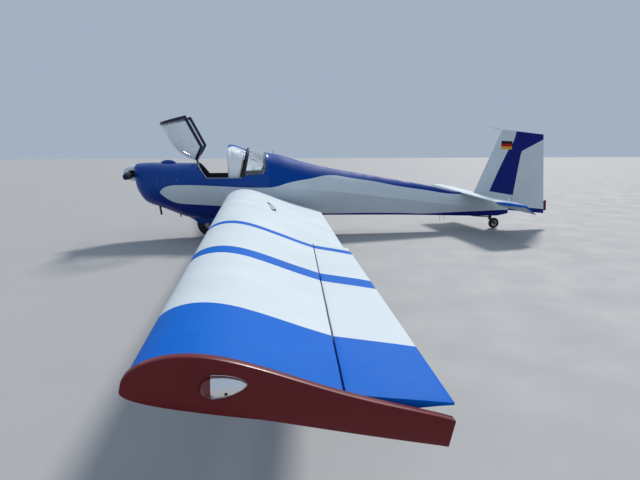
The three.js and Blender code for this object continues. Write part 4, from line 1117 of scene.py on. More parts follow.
def rudder_ring(t, sag):
    r = lerp(RUDDER_LOW, RUDDER_HIGH, t)
    axis_y = rudder_axis_y(lerp(RUDDER_FOOT, RUDDER_TOP, t))

    def low(y):
        return RUDDER_FOOT - (y - 6840) * CAP_SLOPE

    def high(y):
        return RUDDER_TOP - (y - 7012) * CAP_SLOPE

    def place(x, dy):
        y = axis_y + dy
        return Vector((x, y, lerp(low(y), high(y), t)))

    trail = 7393 + (1727 - lerp(low(7550), high(7393), t)) * CAP_SLOPE
    chord = trail - axis_y
    dip = rib_sag(lerp(RUDDER_FOOT, RUDDER_TOP, t), sag, FIN_RIB)
    arc = [place(r * math.cos(a), -r * math.sin(a)) for a in steps(0, math.pi, 14)]
    side = [(lerp(r, 3, u) - dip * math.sin(math.pi * u), chord * u) for u in steps(0, 1, 8)[1:]]
    return arc + [place(-x, dy) for x, dy in side] + [place(x, dy) for x, dy in reversed(side)]


# ---------------------------------------------------------------- canopy and cabin outlines
HINGE = Vector((0, 1188, 1266))
SILL_Z = 1036
ABOVE = 1700
BOW_DEPTH = 45
FRAME_WIDTH = 44
SCREEN_FOOT = 1351
SCREEN_SLOPE = 1.371


def bow_y(z):
    return 1895 + (z - SILL_Z) * 0.235


CANOPY_OUTLINE = [
    (SCREEN_FOOT - (ABOVE - SILL_Z) / SCREEN_SLOPE, ABOVE), (SCREEN_FOOT, SILL_Z),
    (bow_y(SILL_Z), SILL_Z), (bow_y(ABOVE), ABOVE),
]
FRAME_OUTLINE = inset(CANOPY_OUTLINE, CLEAR - SEAM)
PANE_OUTLINE = inset(FRAME_OUTLINE, FRAME_WIDTH)
REAR_GLASS = [
    (bow_y(1068) + BOW_DEPTH, 1068), (2245, 1086), (2285, 1178), (2285, ABOVE),
    (bow_y(ABOVE) + BOW_DEPTH, ABOVE),
]
REAR_GLASS_SPACE = [(bow_y(1068) + 25, 1068), *REAR_GLASS, (bow_y(ABOVE) + 25, ABOVE)]
BOW_OUTLINE = [
    (bow_y(SILL_Z) + SEAM, SILL_Z + SEAM), (bow_y(SILL_Z) + BOW_DEPTH - SEAM, SILL_Z + SEAM),
    (bow_y(ABOVE) + BOW_DEPTH - SEAM, ABOVE), (bow_y(ABOVE) + SEAM, ABOVE),
]
BOW_SPACE = [
    (bow_y(SILL_Z) - 20, SILL_Z), (bow_y(SILL_Z) + BOW_DEPTH, SILL_Z),
    (bow_y(ABOVE) + BOW_DEPTH, ABOVE), (bow_y(ABOVE) - 20, ABOVE),
]
CANOPY_PLACE = Matrix.Translation(HINGE) @ Matrix.Rotation(CANOPY_OPEN, 4, "X") @ Matrix.Translation(-HINGE)


def hull(y0, y1, wall=0.0, step=22.0, caps=(False, False), sides=None):
    """The fuselage's skin from y0 to y1, open at both ends unless it is given caps."""
    count = max(2, round((y1 - y0) / step))
    upper, lower = sides or (72, 14)
    return loft([fuselage_ring(y, wall, upper, lower) for y in steps(y0, y1, count)], caps)


def skin_half(y, z, wall=0.0):
    """Half width of the fuselage at height z over its widest place."""
    _, top, waist, half, _, p, _, _ = station_at(y)
    share = min(max((z - waist) / (top - wall - waist), 0), 1)
    return (half - wall) * (1 - share ** p) ** (1 / p)


def skin_top(x, y):
    """Height of the fuselage's skin over its widest place at a distance x from the middle."""
    _, top, waist, half, _, p, _, _ = station_at(y)
    return waist + (top - waist) * (1 - min(abs(x) / half, 1) ** p) ** (1 / p)


# ---------------------------------------------------------------- settings
class GliderPaint(bpy.types.PropertyGroup):
    """Colours of the paint scheme."""

    def tint(name, description, default):
        return FloatVectorProperty(name=name, description=description, default=default,
                                   subtype="COLOR", size=3, min=0, max=1)

    blue: tint("Fuselage blue", "Main colour of the fuselage", (0.0, 0.06, 0.33))
    bright_blue: tint("Wing blue", "Bands and tip panel of the wings", (0.001, 0.135, 0.6))
    # navy also serves as the painted shade low on the nose and forward belly
    navy: tint("Navy", "Fin band and belly line", (0.004, 0.014, 0.19))
    white: tint("White", "White of the wings and sides", (0.67, 0.745, 0.79))
    red: tint("Tip plate red", "Plates at the wing tips", (0.15, 0.001, 0.004))
    upholstery: tint("Upholstery", "Padded seat backs and cushions", (0.92, 0.94, 0.96))
    flag_black: tint("Stripe one", "Upper small stripe on the fin", (0.01, 0.01, 0.012))
    flag_red: tint("Stripe two", "Middle small stripe on the fin", (0.42, 0.012, 0.012))
    flag_gold: tint("Stripe three", "Lower small stripe on the fin", (0.75, 0.40, 0.03))


class GliderSizes(bpy.types.PropertyGroup):
    """Sizes of the visible details."""

    wing_sag: FloatProperty(name="Wing slack", default=1.8, min=0, max=6,
                            description="How far the wing's cloth sinks between ribs, in mm")
    tail_sag: FloatProperty(name="Tail slack", default=1.0, min=0, max=4,
                            description="How far the tail's cloth sinks between ribs, in mm")
    screw_spacing: FloatProperty(name="Screw spacing", default=88, min=30, max=300,
                                 description="Distance between cowling screws, in mm")
    tread_grooves: IntProperty(name="Tread grooves", default=4, min=0, max=8,
                               description="Grooves round the main tyre")


MADE = {}


def finishes():
    if "finishes" not in MADE:
        MADE["finishes"] = Finishes(bpy.context.scene.glider_paint)
    return MADE["finishes"]


# ---------------------------------------------------------------- operators
class GLIDER_OT_cowling(bpy.types.Operator):
    """Build the engine cowling, its blister and its screws"""

    bl_idname = "glider.cowling"
    bl_label = "Cowling"

    def execute(self, context):
        f = finishes()
        places = steps(COWL_FRONT, 262, 8) + steps(280, COWL_END - SEAM, 42)
        rings = [fuselage_ring(y, 0, 90, 40) for y in places]
        for ring, y in zip(rings, places):
            crest = np.interp(y, CHEEK_CREASE[0], CHEEK_CREASE[1])
            along = smooth_step(y, 262, 330) * (1 - smooth_step(y, 560, 680))
            for p in ring:
                drop = crest - p.z
                swell = smooth_step(drop, 0, 26) * (1 - smooth_step(drop, 70, 260))
                p.x += math.copysign(CHEEK_SWELL * along * swell, p.x)
        centre = Vector((0, COWL_FRONT, THRUST_Z))
        shaft = [centre + (p - centre).normalized() * 62 for p in rings[0]]
        lip = [p.lerp(centre, 0.06) for p in rings[0]]
        halves = (
            ("cowling_upper", Vector((0, 0, 1000 + SEAM)), Vector((0, 0, -1))),
            ("cowling_lower", Vector((0, 0, 1000)), Vector((0, 0, 1))),
        )
        for node, point, normal in halves:
            bm = loft([shaft, lip] + rings, (False, False))
            cut_planes(bm, [(point, normal)], True)
            obj = new_object(node + "_skin", bm)
            thicken(obj, 6, 0)
            if node == "cowling_upper":
                cuts = [
                    lambda bm, x=x: add_rod(bm, (x, 150, 1085), (x, 330, 1085), 42, 40)
                    for x in (168, -168)
                ]
            else:
                openings = ((-110, 110, 150, 420, 735, 800), (-140, 140, 780, 1005, 360, 470))
                cuts = [lambda bm, box=box: add_box(bm, *box) for box in openings]
            boolean(obj, "DIFFERENCE", *(tool_object(cut) for cut in cuts))
            rounded(obj, 1.2)
            finish_piece(obj, "airframe", f.shell, (node,), 40)
        bm = bmesh.new()
        bmesh.ops.create_uvsphere(bm, u_segments=40, v_segments=24, radius=1)
        bm.transform(Matrix.Translation((0, 715, 1246)) @ Matrix.Diagonal((62, 118, 48, 1)))
        cut_planes(bm, [(Vector((0, 0, 1236)), Vector((0, 0, -1)))], True)
        bmesh.ops.holes_fill(bm, edges=bm.edges, sides=100)
        simple_piece("cowl_blister_skin", bm, "airframe", f.blue, ("cowl_blister",), 50)

        paths = []
        for side in (1, -1):
            for z in (1013, 986):
                row = []
                for y in steps(300, 880, 24):
                    p = Vector((side * self.half_at(y, z), y, z))
                    row.append((p + Vector((side * 0.1, 0, 0)), (side, 0, 0.1)))
                paths.append(row)
        section = fuselage_ring(893, 0, 72, 16)[:73]
        paths.append([(p, (p.x, 0, (p.z - 920) * 1.2)) for p in section])
        spacing = context.scene.glider_sizes.screw_spacing
        screws_along("cowling_screws", paths, 3.6, spacing, "airframe", f.steel)
        return {"FINISHED"}

    @staticmethod
    def half_at(y, z):
        _, _, waist, half, bottom, _, keel, lower = station_at(y)
        if z >= waist:
            return skin_half(y, z)
        share = min((waist - z) / (waist - bottom), 1)
        return keel + (half - keel) * (1 - share ** lower) ** (1 / lower)


WHEEL_WELL = (-105, 105, 1100, 1624, 200, 480)
CREASE_SHARE = 0.38
BAY = 560


class GLIDER_OT_fuselage(bpy.types.Operator):
    """Build the cockpit's shell and the cloth-covered rear fuselage"""

    bl_idname = "glider.fuselage"
    bl_label = "Fuselage"

    def execute(self, context):
        f = finishes()
        for node, y0, y1, edge in (
            ("scuttle_shell", COWL_END + SEAM, SCUTTLE_END, 0.6),
            ("cockpit_shell", SCUTTLE_END, CABIN_END - SEAM, 1.5),
        ):
            bm = hull(y0, y1)
            for outline in (CANOPY_OUTLINE, BOW_SPACE, REAR_GLASS_SPACE):
                cut_planes(bm, outline_planes(outline), False)
            cut_planes(bm, box_planes(*WHEEL_WELL), False)
            obj = new_object(node + "_skin", bm)
            obj.data.materials.append(f.shell)
            obj.data.materials.append(f.lining)
            solid = obj.modifiers.new("Wall", "SOLIDIFY")
            solid.thickness = 21 * MM
            solid.offset = -1
            solid.material_offset = solid.material_offset_rim = 1
            rounded(obj, edge)
            finish_piece(obj, "airframe", f.shell, (node,), 40)

        places = steps(CABIN_END + SEAM, TAIL_END, 112)
        rings = [fuselage_ring(y, 0, 64, 12) for y in places]
        for ring, y in zip(rings, places):
            _, top, waist, half, bottom, _, _, _ = station_at(y)
            fade = min((y - CABIN_END) / 300, 1) * min((TAIL_END - y) / 400, 1)
            crease = CREASE_SHARE * (top - waist)
            narrowed = half - skin_half(y, waist + crease)
            bay = math.sin(math.pi * ((y - CABIN_END) / BAY % 1)) ** 0.7
            for p in ring:
                if p.z < waist and p.z > bottom + 1:
                    t = (waist - p.z) / (waist - bottom)
                    p.x -= math.copysign(3.2 * math.sin(math.pi * t) * fade * (0.35 + 0.65 * bay), p.x)
                elif p.z >= waist:
                    t = (p.z - waist) / (top - waist)
                    if t < CREASE_SHARE:
                        flat = half - narrowed * (p.z - waist) / crease
                        p.x = math.copysign(lerp(abs(p.x), flat, fade), p.x)
                    p.x -= math.copysign(2.2 * abs(math.sin(2 * math.pi * t)) * fade * bay, p.x)
        simple_piece("rear_fuselage_skin", loft(rings), "airframe", f.deck,
                     ("rear_fuselage",), 24)
        return {"FINISHED"}


class GLIDER_OT_canopy(bpy.types.Operator):
    """Build the open canopy, the rear bow and the rear window"""

    bl_idname = "glider.canopy"
    bl_label = "Canopy"

    def execute(self, context):
        f = finishes()
        fine = {"step": 16, "sides": (96, 4)}
        bm = hull(1100, 2200, 1.2, **fine)
        cut_planes(bm, outline_planes(FRAME_OUTLINE), True)
        cut_planes(bm, outline_planes(PANE_OUTLINE), False)
        obj = new_object("canopy_frame_tubes", bm, CANOPY_PLACE)
        thicken(obj, 21, 2.5)
        finish_piece(obj, "canopy", f.frame, ("canopy_frame",), 40)

        bm = hull(1100, 2200, 3, **fine)
        cut_planes(bm, outline_planes(inset(PANE_OUTLINE, SEAM)), True)
        obj = new_object("canopy_pane", bm, CANOPY_PLACE)
        thicken(obj, 4, 0, (f.glass, f.frame))
        finish_piece(obj, "canopy", f.glass, ("canopy_glass",), 40)

        bm = hull(1800, 2250, 1, **fine)
        cut_planes(bm, outline_planes(BOW_OUTLINE), True)
        obj = new_object("rear_bow_frame", bm)
        thicken(obj, 24, 2)
        finish_piece(obj, "airframe", f.frame, ("rear_bow",), 40)

        bm = hull(1900, 2320, 2, **fine)
        cut_planes(bm, outline_planes(inset(REAR_GLASS, SEAM)), True)
        obj = new_object("rear_window_pane", bm)
        thicken(obj, 4, 0, (f.glass, f.frame))
        finish_piece(obj, "airframe", f.glass, ("rear_window",), 40)

        bm = bmesh.new()
        for x in (-60, 60):
            bar = bmesh.new()
            add_box(bar, x - 6, x + 6, 1180, 1196, 1236, 1274)
            add_rod(bar, (x - 16, HINGE.y, HINGE.z), (x + 16, HINGE.y, HINGE.z), 4, 16)
            join(bm, bar)
        simple_piece("canopy_hinge_lugs", bm, "airframe", f.dark_metal, bevel=0.8)
        bm = bmesh.new()
        for x in (-60, 60):
            for x0, x1 in ((x - 15, x - 6.6), (x + 6.6, x + 15)):
                arm = [(1181, 1258), (1200, 1258), (1214, 1268), (1214, 1283), (1196, 1279), (1181, 1273)]
                loft([[Vector((x0, y, z)) for y, z in arm], [Vector((x1, y, z)) for y, z in arm]], bm=bm)
        simple_piece("canopy_hinge_arms", bm, "canopy", f.dark_metal, bevel=0.8,
                     place=CANOPY_PLACE)
        return {"FINISHED"}


class GLIDER_OT_wings(bpy.types.Operator):
    """Build both wings with ailerons, airbrakes, tip plates and lamps"""

    bl_idname = "glider.wings"
    bl_label = "Wings"

    def execute(self, context):
        f = finishes()
        sag = context.scene.glider_sizes.wing_sag
        for name, s in (("left", 1), ("right", -1)):
            self.wing(name, s, f, sag)
            self.aileron(name, s, f, sag)
            self.airbrake(name, s, f)
            self.tip(name, s, f)
        return {"FINISHED"}

    @staticmethod
    def side(bm, s):
        return mirrored(bm) if s < 0 else bm

    def wing(self, name, s, f, sag):
        bm = wing_body(sag)
        slot = box_planes(-BRAKE_HALF - 6, BRAKE_HALF + 6, -BRAKE["slot"], BRAKE["slot"], -30, 60)
        turn = BRAKE_PLACE.to_3x3()
        cut_planes(bm, [(BRAKE_PLACE @ p, turn @ n) for p, n in slot], False)
        simple_piece(f"wing_{name}_skin", self.side(bm, s), "airframe", f.wing_cloth,
                     (f"wing_{name}",), 28)
        bm = bmesh.new()
        edge, wide = BRAKE_HALF + 6, BRAKE["slot"]
        rings = []
        for top in (-0.3, -8):
            square = ((-1, -1), (1, -1), (1, 1), (-1, 1))
            rings.append([Vector((a * edge, b * wide, top)) for a, b in square])
        loft(rings, (False, False), bm=bm)
        bm.faces.new([bm.verts.new(p) for p in rings[1]])
        bmesh.ops.remove_doubles(bm, verts=bm.verts, dist=0.01)
        bm.transform(BRAKE_PLACE)
        self.side(bm, s)
        obj = new_object(f"airbrake_box_{name}", bm)
        solid = obj.modifiers.new("Wall", "SOLIDIFY")
        solid.thickness = 1.2 * MM
        solid.offset = 0
        flatten(obj)
        finish_piece(obj, "airframe", f.dark_metal)

    def aileron(self, name, s, f, sag):
        x0, x1 = AILERON_START + 3, WING_END - CLEAR - 4
        rings = []
        for x in span_stations(x0, x1):
            upper = [skin(x, lerp(1, hinge_fraction(x, 2.6), t), 1, sag=sag) for t in steps(0, 1, 12)]
            lower = [skin(x, lerp(hinge_fraction(x, 1.5), 1, t), -1, sag=sag) for t in steps(0, 1, 12)]
            rings.append(upper + lower)
        bm = outward(loft(rings))
        a, b = aileron_axis(x0), aileron_axis(x1)
        turn = Matrix.Rotation(s * AILERON_REST, 4, (b - a).normalized())
        bm.transform(Matrix.Translation(a) @ turn @ Matrix.Translation(-a))
        simple_piece(f"aileron_{name}_skin", self.side(bm, s), f"aileron_{name}",
                     f.wing_cloth, (f"aileron_{name}",), 28, bevel=0.5)

    def airbrake(self, name, s, f):
        bm = bmesh.new()
        add_box(bm, -BRAKE_HALF, BRAKE_HALF, -5, 5, -BRAKE["depth"], -3)
        add_box(bm, -BRAKE_HALF, BRAKE_HALF, -16, 16, -4.6, -0.6)
        bm.transform(BRAKE_PLACE)
        simple_piece(f"airbrake_{name}_blade", self.side(bm, s), f"airbrake_{name}",
                     f.white, (f"airbrake_{name}",), bevel=0.8)

    def tip(self, name, s, f):
        def ring(x, inward=0.0):
            nose = [1 - math.cos(t * math.pi / 2) for t in steps(0, 1, 44)]

            def at(u, side):
                rim = 9.5 if side > 0 else 9 + 42 * max(0, (u - 0.4) / 0.6) ** 1.2
                return skin(WING_END, min(u, 0.995), side, rim - inward)
            points = [at(u, 1) for u in reversed(nose)] + [at(u, -1) for u in nose]
            return [Vector((x, p.y - (2 - inward if p.y < 1700 else 0), p.z)) for p in points]
        x0, x1 = WING_END + SEAM, SEMI_SPAN
        rings = [ring(x0, 2), ring(x0 + 2), ring(x1 - 3), ring(x1 - 0.9, 0.9), ring(x1, 3)]
        simple_piece(f"tip_plate_{name}_board", self.side(outward(loft(rings)), s), "airframe",
                     f.red, (f"tip_plate_{name}",), 50)

        centre = Vector((SEMI_SPAN, 0, 1260))
        # columns: radius, y
        lens = [(0.1, 1725), (8, 1726), (16, 1730), (21.5, 1738), (24, 1748), (24, 1756), (0.1, 1756)]
        cone = [(0.1, 1750), (25.6, 1750), (25.9, 1757), (25.2, 1760), (24, 1776), (20, 1794), (13.5, 1811),
                (6, 1823), (0.1, 1825.6)]
        for piece, profile, slot, material in (
            ("lens", lens, "red_paint", f.lamp_red), ("cone", cone, "bright_metal", f.bright),
        ):
            bm = add_lathe(None, profile, centre, "Y", 56)
            cut_planes(bm, [(Vector((SEMI_SPAN - 1, 0, 0)), Vector((-1, 0, 0)))], True)
            bmesh.ops.holes_fill(bm, edges=bm.edges, sides=200)
            stands = (f"tip_light_{name}",) if piece == "cone" else ()
            simple_piece(f"tip_lamp_{piece}_{name}", self.side(outward(bm), s), "airframe", material,
                         stands, 40)
        screw = [((SEMI_SPAN + 23, y, 1253), (1, 0.15, -0.2)) for y in (1780, 1781)]
        if s > 0:
            screws_along("tip_lamp_screw", [screw], 3.0, 50, "airframe", f.dark_metal)


class GLIDER_OT_tail(bpy.types.Operator):
    """Build the tailplane, elevator, fin, rudder and their hinges"""

    bl_idname = "glider.tail"
    bl_label = "Tail"

    def execute(self, context):
        f = finishes()
        sag = context.scene.glider_sizes.tail_sag
        rings = []
        for x in steps(-STAB["tip"], STAB["tip"], 76):
            edge = max(0.0, (abs(x) - (STAB["tip"] - 45)) / 45)
            rings.append(stab_ring(x, 1 - 0.45 * edge ** 2, 8 + 32 * edge ** 2, sag))
        simple_piece("stabilizer_skin", loft(rings), "airframe", f.tailplane_cloth,
                     ("stabilizer",), 30)

        place = Matrix.Translation(STAB_AXIS) @ Matrix.Rotation(-ELEVATOR_DROOP - STAB_SLOPE, 4, "X")
        bm = bmesh.new()
        for side in (1, -1):
            join(bm, elevator_half(side, sag))
        add_rod(bm, (-ELEVATOR_INNER - 10, 0, 0), (ELEVATOR_INNER + 10, 0, 0), 12, 24)
        obj = new_object("elevator_skin", bm, place)
        finish_piece(obj, "elevator", f.tailplane_cloth, ("elevator",), 30)

        bm = loft([fin_ring(t, sag) for t in steps(0, 1, 40)])
        simple_piece("fin_skin", bm, "airframe", f.fin_cloth, ("fin",), 30)
        bm = loft([rudder_ring(t, sag) for t in steps(0, 1, 44)])
        simple_piece("rudder_skin", bm, "rudder", f.fin_cloth, ("rudder",), 30, bevel=0.6)
        dressed("rudder_tab", f.red, bevel=0.6)
        dressed("pitot_tube", f.white)
        self.brackets(f)
        return {"FINISHED"}

    def brackets(self, f):
        bm = bmesh.new()
        for t in (0.08, 0.3, 0.7, 0.92):
            x = lerp(-STAB["tip"], STAB["tip"], t)
            for dx in (-5, 2):
                plate = bmesh.new()
                add_box(plate, x + dx, x + dx + 3, -34, 8, -8, 8)
                plate.transform(Matrix.Translation(STAB_AXIS) @ Matrix.Rotation(-STAB_SLOPE, 4, "X"))
                join(bm, plate)
        for t in (0.14, 0.5, 0.86):
            z = lerp(600, 1760, t)
            y = rudder_axis_y(z)
            for dx in (-5, 2):
                add_box(bm, dx, dx + 3, y - 34, y + 8, z - 8, z + 8)
        simple_piece("tail_hinge_brackets", bm, "airframe", f.steel, bevel=0.5)


class GLIDER_OT_propeller(bpy.types.Operator):
    """Build the two-blade propeller and its spinner"""

    bl_idname = "glider.propeller"
    bl_label = "Propeller"

    BLADE = np.array([
        [60, 90, 62, 46], [160, 104, 48, 30], [300, 122, 34, 20], [480, 118, 25, 14], [650, 98, 19, 10],
        [770, 66, 16, 7], [800, 30, 15, 5],
    ])

    def blade(self, s):
        rings = []
        for r in steps(60, 770, 40) + steps(776, 800, 6):
            chord, pitch, thick = (np.interp(r, self.BLADE[:, 0], self.BLADE[:, k]) for k in (1, 2, 3))
            if r > 770:
                chord = 66 * math.sqrt(max(1 - ((r - 770) / 30) ** 2, 0.12))
            ring = []
            for i in range(28):
                a = i / 28 * 2 * math.pi
                p = Vector((0, math.sin(a) * thick / 2, math.cos(a) * chord / 2))
                p.rotate(Quaternion((1, 0, 0), s * math.radians(pitch)))
                ring.append(p + Vector((s * r, PROP_Y, THRUST_Z)))
            rings.append(ring)
        return rings

    def execute(self, context):
        f = finishes()
        bm = bmesh.new()
        for s in (1, -1):
            loft(self.blade(s), bm=bm)
        add_rod(bm, (0, PROP_Y - 35, THRUST_Z), (0, PROP_Y + 18, THRUST_Z), 70, 48)
        simple_piece("propeller_blades", bm, "propeller", f.lacquer, ("propeller",), 40)
        profile = []
        for a in steps(0, math.pi / 2, 26):
            profile.append((126 * math.sin(a) ** 0.9 if a else 0.2, 192 - 192 * math.cos(a)))
        bm = add_lathe(None, profile + [(122, 191.9), (0.2, 191.9)], (0, 0, THRUST_Z), "Y", 80)
        obj = new_object("spinner_shell", outward(bm))
        slot_y, slot_z = (PROP_Y - 56, PROP_Y + 56), (THRUST_Z - 54, THRUST_Z + 54)
        hub = ((0, PROP_Y - 40, THRUST_Z), (0, 260, THRUST_Z), 70.5, 48)
        tools = [
            tool_object(lambda bm, x=x: add_box(bm, *x, *slot_y, *slot_z)) for x in ((50, 160), (-160, -50))
        ]
        tools.append(tool_object(lambda bm: add_rod(bm, *hub)))
        boolean(obj, "DIFFERENCE", *tools)
        rounded(obj, 0.8)
        finish_piece(obj, "propeller", f.white, ("spinner",), 40)
        ring = []
        for i in range(49):
            a = i / 48 * 2 * math.pi
            out = (math.sin(a), 0, math.cos(a))
            ring.append(((out[0] * 124.6, 178, THRUST_Z + out[2] * 124.6), out))
        screws_along("spinner_screws", [ring], 3.4, 65.2, "propeller", f.bright)
        return {"FINISHED"}


# keeps the tyres' lowest points off the floor
TYRE_EASE = 0.05


class GLIDER_OT_wheels(bpy.types.Operator):
    """Build the tyres, rims and undercarriage"""

    bl_idname = "glider.wheels"
    bl_label = "Wheels"

    def tyre_profile(self, radius, half, crown, bead, grooves):
        reach = math.asin(min(0.98, half * 0.85 / crown))
        top = []
        for t in steps(-1, 1, 48):
            a = t * reach
            r, h = radius - crown + crown * math.cos(a), crown * math.sin(a)
            for k in range(grooves):
                middle = (k - (grooves - 1) / 2) * half * 0.36
                if abs(h - middle) < half * 0.035:
                    r -= half * 0.05
            top.append((r, h))
        flank = []
        for u in steps(0.78, 0.3, 5):
            flank.append((lerp(bead, radius, u), half * (0.94 + 0.06 * math.sin(math.pi * u))))
        side = flank + [(bead + 3, half * 0.8), (bead, half * 0.66)]
        return top + side + [(bead, -half * 0.66)] + [(r, -h) for r, h in reversed(side[:-1])]

    def execute(self, context):
        f = finishes()
        grooves = context.scene.glider_sizes.tread_grooves
        # name, y, radius, half width, crown radius, bead radius, bore, grooves, segments
        wheels = (
            ("main", 1362, 230, 75, 90, 108, 13.4, grooves, 120),
            ("tail", 6544, 100, 28, 30, 52, 8.4, 0, 72),
        )
        for name, y, radius, half, crown, bead, bore, count, segments in wheels:
            centre = Vector((0, y, radius - crown + crown / math.cos(LEAN)))
            profile = self.tyre_profile(radius - TYRE_EASE, half, crown, bead, count)
            bm = add_lathe(None, profile, centre, "X", segments)
            simple_piece(f"{name}_tyre_rubber", bm, f"{name}_wheel", f.rubber, (f"{name}_tyre",), 30)
            rim = [
                (bore, -half * 0.62), (bead * 0.42, -half * 0.62), (bead * 0.46, -half * 0.55),
                (bead * 0.55, -half * 0.3), (bead * 0.8, -half * 0.26), (bead * 0.88, -half * 0.5),
                (bead * 0.95, -half * 0.66), (bead - 0.4, -half * 0.66),
            ]
            profile = rim + [(r, -h) for r, h in reversed(rim)]
            bm = add_lathe(None, profile, centre, "X", segments)
            simple_piece(f"{name}_rim_casting", bm, f"{name}_wheel", f.alloy,
                         (f"{name}_rim",), 35)
            rows = []
            for s in (1, -1):
                row = []
                for i in range(37):
                    a = i / 36 * 2 * math.pi
                    r = bead * 0.68
                    at = centre + Vector((s * half * 0.28, math.cos(a) * r, math.sin(a) * r))
                    row.append((at, (s, 0, 0)))
                rows.append(row)
            spacing = 2 * math.pi * bead * 0.68 / 6.02
            screws_along(f"{name}_rim_bolts", rows, bead * 0.055, spacing, f"{name}_wheel", f.steel)
        for node in ("main_fork", "tail_fork", "tail_spring"):
            dressed(node, f.dark_metal, bevel=1.2)
        dressed("wheel_fairing", f.blue, bevel=2)
        for side in ("left", "right"):
            dressed(f"outrigger_leg_{side}", f.lacquer, bevel=1.0)
            dressed(f"outrigger_wheel_{side}", f.rubber, angle=50)
        return {"FINISHED"}


PAD_VOXEL = 9
BELT_HALF = 22
BELT_ROOM = 27
PANEL_FACE = 1200.2
# columns: x, z, radius
DIALS = [
    (-300, 1105, 40), (-205, 1125, 40), (-110, 1135, 40), (0, 1140, 34), (110, 1135, 40), (205, 1125, 40),
    (300, 1105, 40), (-255, 1030, 30), (-165, 1040, 30), (0, 1055, 30), (165, 1040, 30), (255, 1030, 30),
]


